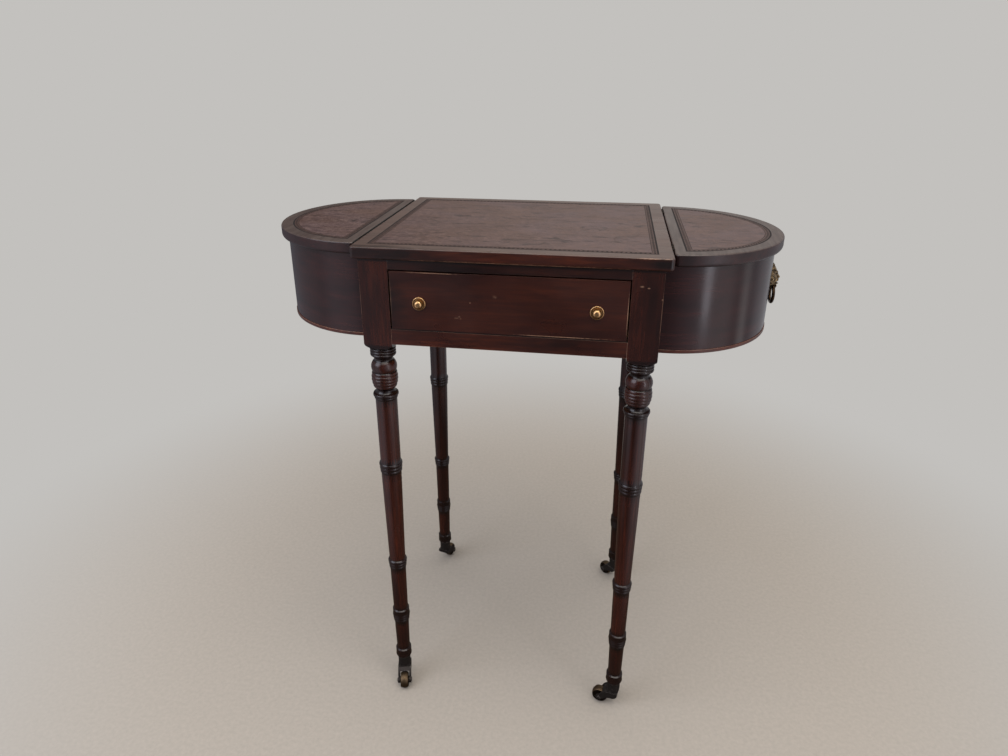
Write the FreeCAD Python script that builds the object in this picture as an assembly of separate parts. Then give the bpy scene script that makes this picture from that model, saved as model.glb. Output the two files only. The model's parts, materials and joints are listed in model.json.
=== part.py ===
import FreeCAD
import Part
import math
import os

# Sewing stand: a drawer carcass on four turned legs with casters, and a lidded half-round bin at each end.
# Millimetres. +Z is up, the drawer faces -Y, and the origin is on the floor midway between the legs.

V = FreeCAD.Vector

# Carcass and boards
top_height = 736.0
board_thickness = 16.0
carcass_width = 379.0
carcass_depth = 337.0
apron_height = 114.0
leg_stock = 38.0
panel_thickness = 16.0
top_overhang_side = 9.5
top_overhang_front = 3.5
board_corner_radius = 5.0
board_upper_round = 2.2
board_lower_round = 4.0
tenon_thickness = 8.0
tenon_length = 12.0
tenon_shoulder = 12.0
rail_depth = 22.0
rail_tenon_depth = 10.0
rail_tenon_shoulder = 2.5
top_rail_height = 12.5
bottom_rail_height = 21.5
joint_clearance = 0.1

# Leather let into the top and the lids
leather_border = 18.5
lid_leather_border = 17.0
lid_hinge_border = 14.0
leather_thickness = 1.0
leather_clearance = 0.3

# Drawer
drawer_bottom_gap = 0.5
drawer_side_gap = 1.8
drawer_top_gap = 1.8
drawer_front_thickness = 16.0
drawer_side_thickness = 9.0
drawer_side_height = 66.0
drawer_side_lap = 10.0
drawer_rear_clearance = 18.0
drawer_bottom_thickness = 5.0
drawer_bottom_rise = 5.0
drawer_groove_depth = 4.0
drawer_back_dado = 3.0
drawer_back_inset = 8.0
drawer_back_drop = 4.0
drawer_slide_clearance = 0.3
runner_thickness = 12.0
runner_inset = 10.0
guide_height = 12.0
kicker_gap = 2.5
stop_length = 30.0
stop_height = 4.5
stop_inset = 71.5

# Knobs
knob_inset = 37.7
knob_rise = 36.5
knob_flange_radius = 8.7
knob_flange_thickness = 2.4
knob_rim_width = 1.5
knob_dish_depth = 1.2
knob_neck_radius = 4.0
knob_neck_length = 0.6
knob_dome_radius = 5.4
knob_dome_length = 7.0
knob_screw_radius = 2.0
knob_screw_grip = 4.0
screw_head_radius = 4.2
screw_head_thickness = 2.4

# Half-round bins
bin_inset = 25.0
bin_center_reach = 9.5
bin_wall_thickness = 6.0
bin_bottom_thickness = 5.0
bin_bottom_lip = 1.0
bin_bottom_round = 1.6
lid_rest_gap = 0.3

# Lids and their hinges
lid_overhang = 9.1
lid_gap = 1.2
lid_corner_radius = 5.0
lid_lower_round = 5.0
hinge_inset = 40.0
hinge_length = 33.0
hinge_leaf_thickness = 1.2
hinge_leaf_height = 11.0
hinge_barrel_radius = 1.5
hinge_pin_radius = 0.7
hinge_pin_clearance = 0.05
hinge_barrel_gap = 0.25
hinge_scoop_clearance = 0.4

# Lion-mask ring pulls
mask_drop = 61.0
mask_radius = 15.5
mask_lobes = 12
mask_lobe_depth = 1.4
mask_plate_thickness = 3.6
mask_face_radius = 10.5
mask_face_reach = 11.0
mask_muzzle_radius = 5.5
mask_muzzle_reach = 15.0
mask_muzzle_drop = 3.5
mask_chin_radius = 5.0
mask_chin_reach = 13.4
mask_chin_drop = 10.5
mask_jaw_width = 7.0
mask_jaw_radius = 4.6
mask_seat_clearance = 0.1
pull_drop = 15.7
pull_standoff = 7.5
pull_ring_radius = 11.9
pull_wire_radius = 2.2
pull_eye_clearance = 0.9
mask_bolt_radius = 2.0
mask_bolt_grip = 4.0
mask_nut_radius = 4.5
mask_nut_thickness = 3.5
mask_nut_gap = 0.2

# Turned legs, measured down from the block
shoulder_drop = 8.0
shoulder_radius = 17.0
shoulder_swell = 2.6
cushion_radius = 15.6
cushion_drop = 2.5
head_bead_count = 3
head_bead_root = 16.4
head_bead_height = 4.0
head_bead_swell = 1.1
upper_neck_radius = 12.8
upper_neck_drop = 6.5
upper_neck_hollow = 1.2
ball_drop = 17.0
ball_swell = 3.1
reed_count = 5
reed_height = 4.8
reed_swell = 0.9
barrel_top_radius = 15.8
barrel_belly_radius = 17.3
barrel_foot_radius = 14.4
lower_neck_radius = 12.0
lower_neck_drop = 3.0
flare_radius = 16.8
flare_drop = 5.5
flare_hollow = 1.2
collar_edge_height = 4.5
collar_edge_swell = 0.8
collar_lip_radius = 15.7
collar_lip_height = 4.5

# Leg shaft and its ringed collars, measured up from the floor
shaft_top_radius = 15.0
ring_bead_count = 3
ring_bead_swell = 0.9
upper_collar_height = 408.0
upper_collar_tall = 16.0
upper_collar_radius = 16.0
upper_shaft_radius = 14.6
middle_collar_height = 236.0
middle_collar_tall = 15.5
middle_collar_radius = 13.6
middle_shaft_radius = 12.0
lower_collar_height = 130.0
lower_collar_tall = 15.0
lower_cuff_height = 9.0
lower_collar_radius = 12.9
lower_shaft_radius = 11.2
foot_cuff_height = 15.0
foot_cuff_radius = 12.3
foot_bead_height = 4.0
foot_shaft_radius = 10.2
cuff_bevel = 1.2

# Casters
cup_top_height = 50.0
cup_height = 20.0
cup_top_radius = 11.0
cup_bottom_radius = 9.6
cup_floor_thickness = 3.2
cup_lip = 2.0
cup_bore_clearance = 0.1
spigot_radius = 8.3
spigot_length = 14.0
wheel_radius = 12.5
wheel_width = 14.0
wheel_crown = 1.7
wheel_hub_radius = 5.2
wheel_dish = 0.9
caster_trail = 20.0
fork_side_gap = 0.5
fork_prong = 2.9
fork_wheel_gap = 1.2
fork_boss_radius = 5.2
fork_back_reach = 8.5
fork_crown_reach = 10.0
fork_heel_drop = 4.5
fork_heel_reach = 2.0
fork_heel_rise = 19.0
fork_heel_swell = 2.2
fork_arm_bow = 1.6
swivel_gap = 0.3
swivel_pin_radius = 3.0
swivel_head_radius = 4.4
swivel_head_thickness = 1.7
running_clearance = 0.06
axle_radius = 2.5
axle_head_radius = 3.8
axle_head_thickness = 1.3

# Which way each caster trails, in degrees from +X
caster_headings = {
    "front_left": -77.0,
    "front_right": 167.0,
    "back_left": 77.0,
    "back_right": 138.0,
}

# Places that follow from the sizes
apron_top = top_height - board_thickness
apron_bottom = apron_top - apron_height
side_face = carcass_width / 2
front_face = -carcass_depth / 2
back_face = carcass_depth / 2
leg_x = side_face - leg_stock / 2
leg_y = back_face - leg_stock / 2
leg_inner_x = side_face - leg_stock
leg_inner_y = back_face - leg_stock
panel_inner_x = side_face - panel_thickness
opening_bottom = apron_bottom + bottom_rail_height
opening_top = apron_top - top_rail_height
drawer_bottom_edge = opening_bottom + drawer_bottom_gap
drawer_side_top = drawer_bottom_edge + drawer_side_height
drawer_floor = drawer_bottom_edge + drawer_bottom_rise
drawer_rear = back_face - panel_thickness - drawer_rear_clearance
drawer_back_face = drawer_rear - drawer_back_inset - drawer_side_thickness
runner_top = drawer_bottom_edge - drawer_slide_clearance
top_edge_x = side_face + top_overhang_side
top_edge_y = back_face + top_overhang_front
lid_edge_x = top_edge_x + lid_gap
hinge_x = top_edge_x + lid_gap / 2
hinge_z = top_height - hinge_barrel_radius
bin_radius = back_face - bin_inset
bin_center_x = side_face + bin_center_reach
bin_end_x = bin_center_x + bin_radius
lid_radius = bin_end_x + lid_overhang - lid_edge_x
hinge_y = lid_radius - hinge_inset
bin_wall_bottom = apron_bottom + bin_bottom_thickness
bin_wall_top = apron_top - lid_rest_gap
knob_x = leg_inner_x - drawer_side_gap - knob_inset
knob_z = drawer_bottom_edge + knob_rise
stop_x = leg_inner_x - stop_inset
mask_height = top_height - mask_drop
pull_x = bin_end_x + pull_standoff
pull_z = mask_height - pull_drop
cup_bottom = cup_top_height - cup_height
fork_top = cup_bottom - swivel_gap

parts = {}


def block(x0, x1, y0, y1, z0, z1):
    """A box between two opposite corners."""
    return Part.makeBox(x1 - x0, y1 - y0, z1 - z0, V(x0, y0, z0))


def rod(radius, start, end):
    """A round bar from one point to another."""
    along = end - start
    return Part.makeCylinder(radius, along.Length, start, along)


def mirrored(shape):
    """The left-hand twin of a right-hand shape."""
    return shape.mirror(V(0, 0, 0), V(1, 0, 0))


def closed_face(edges):
    """A flat face inside a closed run of edges."""
    return Part.Face(Part.Wire(Part.__sortEdges__(edges)))


def edges_at_height(shape, height):
    """The edges of a shape that lie flat at one height."""
    near = 1e-4
    return [
        edge for edge in shape.Edges
        if abs(edge.BoundBox.ZMin - height) < near and abs(edge.BoundBox.ZMax - height) < near
    ]


def upright_edges(shape):
    """The straight edges of a shape that stand parallel to Z."""
    near = 1e-4
    return [
        edge for edge in shape.Edges
        if edge.BoundBox.XLength < near and edge.BoundBox.YLength < near
    ]


class Turning:
    """A half outline drawn downwards in radius and height, then spun about the Z axis."""

    def __init__(self, radius, height):
        self.top = V(0, 0, height)
        self.at = V(radius, 0, height)
        self.edges = [Part.makeLine(self.top, self.at)]

    def to(self, radius, height):
        """A straight run to a radius and height."""
        end = V(radius, 0, height)
        if (end - self.at).Length > 1e-6:
            self.edges.append(Part.makeLine(self.at, end))
        self.at = end

    def drop(self, radius, depth):
        """A straight run to a radius, a given depth lower."""
        self.to(radius, self.at.z - depth)

    def curve(self, radius, depth, swell):
        """An arc to a radius, a given depth lower, that swells out, or hollows where swell is negative."""
        end = V(radius, 0, self.at.z - depth)
        chord = end - self.at
        outward = V(-chord.z, 0, chord.x).normalize()
        middle = (self.at + end) * 0.5 + outward * swell
        self.edges.append(Part.Arc(self.at, middle, end).toShape())
        self.at = end

    def beads(self, count, last_radius, height, swell):
        """A stack of rounded rings whose roots run evenly to a last radius."""
        first_radius = self.at.x
        for number in range(1, count + 1):
            root = first_radius + (last_radius - first_radius) * number / count
            self.curve(root, height / count, swell)

    def collar(self, upper_height, radius, shaft_radius):
        """A taper to the shaft's radius, then a bevelled step out to a collar's upper edge."""
        self.to(shaft_radius, upper_height + cuff_bevel)
        self.to(radius, upper_height)

    def solid(self):
        """The spun solid."""
        bottom = V(0, 0, self.at.z)
        ends = [Part.makeLine(self.at, bottom), Part.makeLine(bottom, self.top)]
        return closed_face(self.edges + ends).revolve(V(0, 0, 0), V(0, 0, 1), 360)


# Legs
def barrel_root(number):
    """The root radius of the reeded barrel after a number of reeds."""
    share = number / reed_count
    straight = barrel_top_radius + (barrel_foot_radius - barrel_top_radius) * share
    middle = (barrel_top_radius + barrel_foot_radius) / 2
    return straight + 4 * share * (1 - share) * (barrel_belly_radius - middle)


def turned_leg():
    """One leg at its own axis: a square block, shouldered into a turned post with a spigot at the foot."""
    square = block(-leg_stock / 2, leg_stock / 2, -leg_stock / 2, leg_stock / 2,
                   apron_bottom - shoulder_drop, apron_top)
    pommel = Turning(leg_stock, apron_top)
    pommel.to(leg_stock, apron_bottom + shoulder_drop)
    pommel.to(leg_stock / math.sqrt(2), apron_bottom)
    pommel.curve(shoulder_radius, shoulder_drop, shoulder_swell)
    post = Turning(cushion_radius, apron_bottom - shoulder_drop)
    post.drop(cushion_radius, cushion_drop)
    post.to(head_bead_root, post.at.z)
    post.beads(head_bead_count, head_bead_root, head_bead_count * head_bead_height, head_bead_swell)
    post.curve(upper_neck_radius, upper_neck_drop, -upper_neck_hollow)
    post.curve(barrel_top_radius, ball_drop, ball_swell)
    for number in range(1, reed_count + 1):
        post.curve(barrel_root(number), reed_height, reed_swell)
    post.drop(lower_neck_radius, lower_neck_drop)
    post.curve(flare_radius, flare_drop, -flare_hollow)
    post.curve(flare_radius, collar_edge_height, collar_edge_swell)
    post.to(collar_lip_radius, post.at.z)
    post.curve(shaft_top_radius, collar_lip_height, collar_edge_swell)
    return square.common(pommel.solid()).fuse(shaft(post)).removeSplitter()


def shaft(post):
    """The tapering shaft with its collars and foot, added below the turned head of a leg."""
    post.collar(upper_collar_height + upper_collar_tall / 2, upper_collar_radius, upper_shaft_radius)
    post.beads(ring_bead_count, upper_shaft_radius, upper_collar_tall, ring_bead_swell)
    post.collar(middle_collar_height + middle_collar_tall / 2, middle_collar_radius, middle_shaft_radius)
    post.beads(ring_bead_count, middle_shaft_radius, middle_collar_tall, ring_bead_swell)
    cuff_bottom = lower_collar_height + lower_collar_tall / 2
    post.collar(cuff_bottom + lower_cuff_height, lower_collar_radius, lower_shaft_radius)
    post.to(lower_collar_radius, cuff_bottom)
    post.beads(ring_bead_count, lower_shaft_radius, lower_collar_tall, ring_bead_swell)
    post.collar(cup_top_height + foot_cuff_height, foot_cuff_radius, foot_shaft_radius)
    post.to(foot_cuff_radius, cup_top_height + foot_bead_height)
    post.curve(cup_top_radius, foot_bead_height, ring_bead_swell)
    post.to(spigot_radius, cup_top_height)
    post.drop(spigot_radius, spigot_length)
    return post.solid()


mortises = []


def tenon(x0, x1, y0, y1, z0, z1):
    """A tenon; the mortise that takes it is kept for the legs."""
    room = joint_clearance
    mortises.append(block(x0 - room, x1 + room, y0 - room, y1 + room, z0 - room, z1 + room))
    return block(x0, x1, y0, y1, z0, z1)


# Aprons and rails
def side_panel():
    """The right side panel, tenoned into the front and back legs."""
    panel = block(panel_inner_x, side_face, -leg_inner_y, leg_inner_y, apron_bottom, apron_top)
    middle = side_face - panel_thickness / 2
    for sign in (-1, 1):
        shoulder = sign * leg_inner_y
        end = sign * (leg_inner_y + tenon_length)
        panel = panel.fuse(tenon(middle - tenon_thickness / 2, middle + tenon_thickness / 2,
                                 min(shoulder, end), max(shoulder, end),
                                 apron_bottom + tenon_shoulder, apron_top - tenon_shoulder))
    return panel.removeSplitter()


def cross_board(y0, y1, z0, z1, tenon_y0, tenon_y1, shoulder):
    """A board from side to side between the legs, with a tenon at each end."""
    board = block(-leg_inner_x, leg_inner_x, y0, y1, z0, z1)
    for sign in (-1, 1):
        root = sign * leg_inner_x
        end = sign * (leg_inner_x + tenon_length)
        board = board.fuse(tenon(min(root, end), max(root, end), tenon_y0, tenon_y1,
                                 z0 + shoulder, z1 - shoulder))
    return board.removeSplitter()


def front_rail(z0, z1):
    """A front rail, flush with the faces of the legs."""
    middle = front_face + rail_depth / 2
    return cross_board(front_face, front_face + rail_depth, z0, z1,
                       middle - rail_tenon_depth / 2, middle + rail_tenon_depth / 2, rail_tenon_shoulder)


def back_board():
    """The back panel, flush with the legs."""
    middle = back_face - panel_thickness / 2
    return cross_board(back_face - panel_thickness, back_face, apron_bottom, apron_top,
                       middle - tenon_thickness / 2, middle + tenon_thickness / 2, tenon_shoulder)


parts["right_side_panel"] = side_panel()
parts["left_side_panel"] = mirrored(parts["right_side_panel"])
parts["back_panel"] = back_board()
parts["front_top_rail"] = front_rail(opening_top, apron_top)
parts["front_bottom_rail"] = front_rail(apron_bottom, opening_bottom)

leg_blank = turned_leg()
for row, place_y in (("front", -leg_y), ("back", leg_y)):
    leg = leg_blank.translated(V(leg_x, place_y, 0)).cut(mortises)
    parts[row + "_right_leg"] = leg
    parts[row + "_left_leg"] = mirrored(leg)


# Drawer runners, kickers and stops
def runner():
    """The right runner under the drawer's side, with the guide that keeps the drawer straight."""
    base = block(leg_inner_x - runner_inset, panel_inner_x, -leg_inner_y, leg_inner_y,
                 runner_top - runner_thickness, runner_top)
    guide = block(leg_inner_x, panel_inner_x, -leg_inner_y, leg_inner_y,
                  runner_top, runner_top + guide_height)
    return base.fuse(guide).removeSplitter()


def kickers():
    """The two strips above the drawer's sides that keep it from tipping."""
    strip = block(leg_inner_x - runner_inset, panel_inner_x, -leg_inner_y, leg_inner_y,
                  drawer_side_top + kicker_gap, apron_top)
    return Part.makeCompound([strip, mirrored(strip)])


def stops():
    """The two small blocks on the bottom rail that the drawer front closes against."""
    start = front_face + drawer_front_thickness + drawer_slide_clearance
    piece = block(stop_x - stop_length / 2, stop_x + stop_length / 2,
                  start, front_face + rail_depth, opening_bottom, opening_bottom + stop_height)
    return Part.makeCompound([piece, mirrored(piece)])


parts["right_drawer_runner"] = runner()
parts["left_drawer_runner"] = mirrored(parts["right_drawer_runner"])
parts["drawer_kickers"] = kickers()
parts["drawer_stops"] = stops()


# Drawer
def drawer_front():
    """The drawer front: rebated for the sides, grooved for the bottom and bored for the knob screws."""
    half = leg_inner_x - drawer_side_gap
    inside = front_face + drawer_front_thickness
    front = block(-half, half, front_face, inside, drawer_bottom_edge, opening_top - drawer_top_gap)
    room = joint_clearance
    for sign in (-1, 1):
        edges = sorted((sign * (half - drawer_side_thickness - room), sign * (half + room)))
        front = front.cut(block(edges[0], edges[1], inside - drawer_side_lap - room, inside + room,
                                drawer_bottom_edge - room, drawer_side_top + room))
        center = V(sign * knob_x, 0, knob_z)
        front = front.cut(rod(knob_screw_radius + joint_clearance, center + V(0, front_face, 0),
                              center + V(0, inside, 0)))
    groove = block(-half + drawer_side_thickness, half - drawer_side_thickness,
                   inside - drawer_groove_depth, inside + room,
                   drawer_floor - room, drawer_floor + drawer_bottom_thickness + room)
    return front.cut(groove)


def drawer_side():
    """The right drawer side, grooved for the bottom and housed for the back."""
    outer = leg_inner_x - drawer_side_gap
    inner = outer - drawer_side_thickness
    room = joint_clearance
    side = block(inner, outer, front_face + drawer_front_thickness - drawer_side_lap, drawer_rear,
                 drawer_bottom_edge, drawer_side_top)
    groove = block(inner - room, inner + drawer_groove_depth, front_face, drawer_rear + room,
                   drawer_floor - room, drawer_floor + drawer_bottom_thickness + room)
    dado = block(inner - room, inner + drawer_back_dado + room, drawer_back_face - room,
                 drawer_back_face + drawer_side_thickness + room,
                 drawer_floor, drawer_side_top + room)
    return side.cut(groove).cut(dado)


def drawer_back():
    """The drawer back, standing on the bottom between the sides."""
    half = leg_inner_x - drawer_side_gap - drawer_side_thickness + drawer_back_dado
    return block(-half, half, drawer_back_face, drawer_back_face + drawer_side_thickness,
                 drawer_floor + drawer_bottom_thickness, drawer_side_top - drawer_back_drop)


def drawer_bottom():
    """The thin drawer bottom, held in the grooves."""
    half = leg_inner_x - drawer_side_gap - drawer_side_thickness + drawer_groove_depth - joint_clearance
    corner = leg_inner_x - drawer_side_gap - drawer_side_thickness - joint_clearance
    inside = front_face + drawer_front_thickness
    panel = block(-half, half, inside, drawer_back_face + drawer_side_thickness,
                  drawer_floor, drawer_floor + drawer_bottom_thickness)
    tongue = block(-corner, corner, inside - drawer_groove_depth + joint_clearance, inside,
                   drawer_floor, drawer_floor + drawer_bottom_thickness)
    return panel.fuse(tongue).removeSplitter()


def knob():
    """The right knob: a dished flange with a raised rim and a low domed button, bored for its screw."""
    dish = knob_flange_thickness - knob_dish_depth
    rim_radius = knob_flange_radius - knob_rim_width
    reach = dish + knob_neck_length + knob_dome_length
    shape = Turning(knob_dome_radius / 3, reach)
    shape.curve(knob_dome_radius, knob_dome_length / 2, knob_dome_radius / 6)
    shape.curve(knob_neck_radius, knob_dome_length / 2, knob_dome_radius / 6)
    shape.drop(knob_neck_radius, knob_neck_length)
    shape.to(rim_radius, dish)
    shape.to(rim_radius + knob_rim_width / 3, knob_flange_thickness)
    shape.curve(knob_flange_radius, knob_flange_thickness / 2, knob_rim_width / 4)
    shape.to(knob_flange_radius, 0)
    bore = rod(knob_screw_radius + running_clearance, V(0, 0, 0),
               V(0, 0, knob_screw_grip + joint_clearance))
    turned = shape.solid().cut(bore)
    turned.rotate(V(0, 0, 0), V(1, 0, 0), 90)
    return turned.translated(V(knob_x, front_face, knob_z))


def knob_screw():
    """The screw that holds the right knob, with its head inside the drawer."""
    inside = front_face + drawer_front_thickness
    center = V(knob_x, 0, knob_z)
    shank = rod(knob_screw_radius, center + V(0, front_face - knob_screw_grip, 0), center + V(0, inside, 0))
    head = rod(screw_head_radius, center + V(0, inside, 0), center + V(0, inside + screw_head_thickness, 0))
    return shank.fuse(head).removeSplitter()


parts["drawer_front"] = drawer_front()
parts["drawer_right_side"] = drawer_side()
parts["drawer_left_side"] = mirrored(parts["drawer_right_side"])
parts["drawer_back"] = drawer_back()
parts["drawer_bottom"] = drawer_bottom()
parts["right_knob"] = knob()
parts["left_knob"] = mirrored(parts["right_knob"])
parts["knob_screws"] = Part.makeCompound([knob_screw(), mirrored(knob_screw())])


# Hinges
def hinge_places():
    """The middle of each hinge along the joint."""
    return (-hinge_y, hinge_y)


def hinge_axis(start, end):
    """Two points on the right lid's hinge axis."""
    return V(hinge_x, start, hinge_z), V(hinge_x, end, hinge_z)


def hinge_room(leaf_x0, leaf_x1):
    """What is cut from a board's edge so that one side's leaves and all the barrels sit in it."""
    room = joint_clearance
    cuts = []
    for middle in hinge_places():
        start = middle - hinge_length / 2 - room
        end = middle + hinge_length / 2 + room
        cuts.append(rod(hinge_barrel_radius + hinge_scoop_clearance, *hinge_axis(start, end)))
        cuts.append(block(leaf_x0, leaf_x1, start, end, hinge_z - hinge_leaf_height - room, hinge_z))
    return cuts


def hinge_leaves(leaf_x0, leaf_x1, own_barrels):
    """The leaves on one side of the joint, with the barrels that belong to them."""
    barrel_length = (hinge_length - 2 * hinge_barrel_gap) / 3
    leaves = []
    for middle in hinge_places():
        first = middle - hinge_length / 2
        leaf = block(leaf_x0, leaf_x1, first, first + hinge_length, hinge_z - hinge_leaf_height, hinge_z)
        for number in range(3):
            start = first + number * (barrel_length + hinge_barrel_gap)
            end = start + barrel_length
            if number in own_barrels:
                leaf = leaf.fuse(rod(hinge_barrel_radius, *hinge_axis(start, end)))
            else:
                leaf = leaf.cut(rod(hinge_barrel_radius + hinge_barrel_gap,
                                    *hinge_axis(start - hinge_barrel_gap, end + hinge_barrel_gap)))
        bore = rod(hinge_pin_radius + hinge_pin_clearance, *hinge_axis(first, first + hinge_length))
        leaves.append(leaf.cut(bore).removeSplitter())
    return Part.makeCompound(leaves)


def hinge_pins():
    """The pins of the right lid's hinges."""
    reach = hinge_length / 2
    return Part.makeCompound([
        rod(hinge_pin_radius, *hinge_axis(middle - reach, middle + reach)) for middle in hinge_places()
    ])


# Top board, lids and leather
def center_top():
    """The fixed top board: rounded edges, a bed for the leather and seats for the hinges on both sides."""
    board = block(-top_edge_x, top_edge_x, -top_edge_y, top_edge_y, apron_top, top_height)
    board = board.makeFillet(board_corner_radius, upright_edges(board))
    board = board.makeFillet(board_upper_round, edges_at_height(board, top_height))
    board = board.makeFillet(board_lower_round, edges_at_height(board, apron_top))
    reach_x = top_edge_x - leather_border
    reach_y = top_edge_y - leather_border
    board = board.cut(block(-reach_x, reach_x, -reach_y, reach_y,
                            top_height - leather_thickness, top_height))
    room = hinge_room(top_edge_x - hinge_leaf_thickness - joint_clearance, hinge_x)
    return board.cut(room + [mirrored(cut) for cut in room])


def center_leather():
    """The leather panel in the top board."""
    reach_x = top_edge_x - leather_border - leather_clearance
    reach_y = top_edge_y - leather_border - leather_clearance
    return block(-reach_x, reach_x, -reach_y, reach_y, top_height - leather_thickness, top_height)


def half_round(edge_x, radius, corner):
    """A flat half-disc with its straight side on a line of constant x, and rounded corners on that side."""
    arc_y = math.sqrt((radius - corner) ** 2 - corner ** 2)
    lean = radius / (radius - corner)
    slant = math.sqrt(0.5) * corner
    low_side = V(edge_x, -arc_y, 0)
    low_bend = V(edge_x + corner - slant, -arc_y - slant, 0)
    low_arc = V(edge_x + corner * lean, -arc_y * lean, 0)
    high_side, high_bend, high_arc = [V(point.x, -point.y, 0) for point in (low_side, low_bend, low_arc)]
    return closed_face([
        Part.makeLine(high_side, low_side),
        Part.Arc(low_side, low_bend, low_arc).toShape(),
        Part.Arc(low_arc, V(edge_x + radius, 0, 0), high_arc).toShape(),
        Part.Arc(high_arc, high_bend, high_side).toShape(),
    ])


def leather_half_round(clearance):
    """The flat outline of a lid's leather bed, or of the leather itself a clearance inside it."""
    inset = lid_hinge_border + clearance
    radius = lid_radius - lid_leather_border - clearance
    half = math.sqrt(radius ** 2 - inset ** 2)
    low = V(lid_edge_x + inset, -half, 0)
    high = V(lid_edge_x + inset, half, 0)
    return closed_face([
        Part.makeLine(high, low),
        Part.Arc(low, V(lid_edge_x + radius, 0, 0), high).toShape(),
    ])


def lid():
    """The right lid: a half-round board with a bed for the leather and seats for its hinges."""
    board = half_round(lid_edge_x, lid_radius, lid_corner_radius).extrude(V(0, 0, board_thickness))
    board.translate(V(0, 0, apron_top))
    board = board.makeFillet(board_upper_round, edges_at_height(board, top_height))
    board = board.makeFillet(lid_lower_round, edges_at_height(board, apron_top))
    bed = leather_half_round(0).extrude(V(0, 0, leather_thickness))
    board = board.cut(bed.translated(V(0, 0, top_height - leather_thickness)))
    return board.cut(hinge_room(hinge_x, lid_edge_x + hinge_leaf_thickness + joint_clearance))


def lid_leather():
    """The leather panel in the right lid."""
    panel = leather_half_round(leather_clearance).extrude(V(0, 0, leather_thickness))
    return panel.translated(V(0, 0, top_height - leather_thickness))


parts["center_top"] = center_top()
parts["center_leather"] = center_leather()
parts["right_lid"] = lid()
parts["right_lid_leather"] = lid_leather()
parts["right_hinge_fixed_leaves"] = hinge_leaves(top_edge_x - hinge_leaf_thickness, top_edge_x, (0, 2))
parts["right_hinge_moving_leaves"] = hinge_leaves(lid_edge_x, lid_edge_x + hinge_leaf_thickness, (1,))
parts["right_hinge_pins"] = hinge_pins()


# Bins
def bin_outline(radius, inner_radius):
    """The flat outline of a bent wall: straight beside the leg, then a half circle."""
    def run(size):
        return [
            V(side_face, -size, 0), V(bin_center_x, -size, 0), V(bin_center_x + size, 0, 0),
            V(bin_center_x, size, 0), V(side_face, size, 0),
        ]
    outer = run(radius)
    inner = run(inner_radius)
    edges = [Part.makeLine(outer[0], inner[0]), Part.makeLine(outer[4], inner[4])]
    for points in (outer, inner):
        edges.append(Part.makeLine(points[0], points[1]))
        edges.append(Part.Arc(points[1], points[2], points[3]).toShape())
        edges.append(Part.makeLine(points[3], points[4]))
    return closed_face(edges)


def bin_wall():
    """The right bin's bent wall, bored for the bolt of the ring pull."""
    wall = bin_outline(bin_radius, bin_radius - bin_wall_thickness)
    wall = wall.extrude(V(0, 0, bin_wall_top - bin_wall_bottom)).translated(V(0, 0, bin_wall_bottom))
    hole = rod(mask_bolt_radius + joint_clearance, V(bin_center_x, 0, mask_height),
               V(bin_end_x + bin_wall_thickness, 0, mask_height))
    return wall.cut(hole)


def bin_bottom():
    """The right bin's bottom board, with a rounded lip that shows below the wall."""
    size = bin_radius + bin_bottom_lip
    low = V(side_face, -size, 0)
    bend = V(bin_center_x, -size, 0)
    far_bend = V(bin_center_x, size, 0)
    high = V(side_face, size, 0)
    board = closed_face([
        Part.makeLine(high, low),
        Part.makeLine(low, bend),
        Part.Arc(bend, V(bin_center_x + size, 0, 0), far_bend).toShape(),
        Part.makeLine(far_bend, high),
    ]).extrude(V(0, 0, bin_bottom_thickness)).translated(V(0, 0, apron_bottom))
    lip = [
        edge for edge in edges_at_height(board, apron_bottom)
        if edge.BoundBox.XMax > side_face + bin_bottom_round
    ]
    return board.makeFillet(bin_bottom_round, lip)


# Ring pulls
def facing_out(shape, x, height):
    """A shape turned so that its Z axis points out of the right bin, set at its place."""
    turned = shape.copy()
    turned.rotate(V(0, 0, 0), V(0, 1, 0), 90)
    return turned.translated(V(x, 0, height))


def mane():
    """The lobed plate behind the lion's face, reaching into the curve of the wall."""
    step = 2 * math.pi / mask_lobes
    edges = []
    for number in range(mask_lobes):
        start, middle, end = [
            V(size * math.cos(angle), size * math.sin(angle), 0)
            for size, angle in (
                (mask_radius - mask_lobe_depth, number * step),
                (mask_radius, (number + 0.5) * step),
                (mask_radius - mask_lobe_depth, (number + 1) * step),
            )
        ]
        edges.append(Part.Arc(start, middle, end).toShape())
    plate = closed_face(edges).extrude(V(0, 0, mask_plate_thickness + mask_lobe_depth))
    return facing_out(plate, bin_end_x - mask_lobe_depth, mask_height)


def dome(radius, reach):
    """A rounded boss that stands on the plane z = 0."""
    shape = Turning(radius / 3, reach)
    shape.curve(radius, reach * 0.7, radius / 6)
    shape.to(radius, 0)
    return shape.solid()


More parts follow.
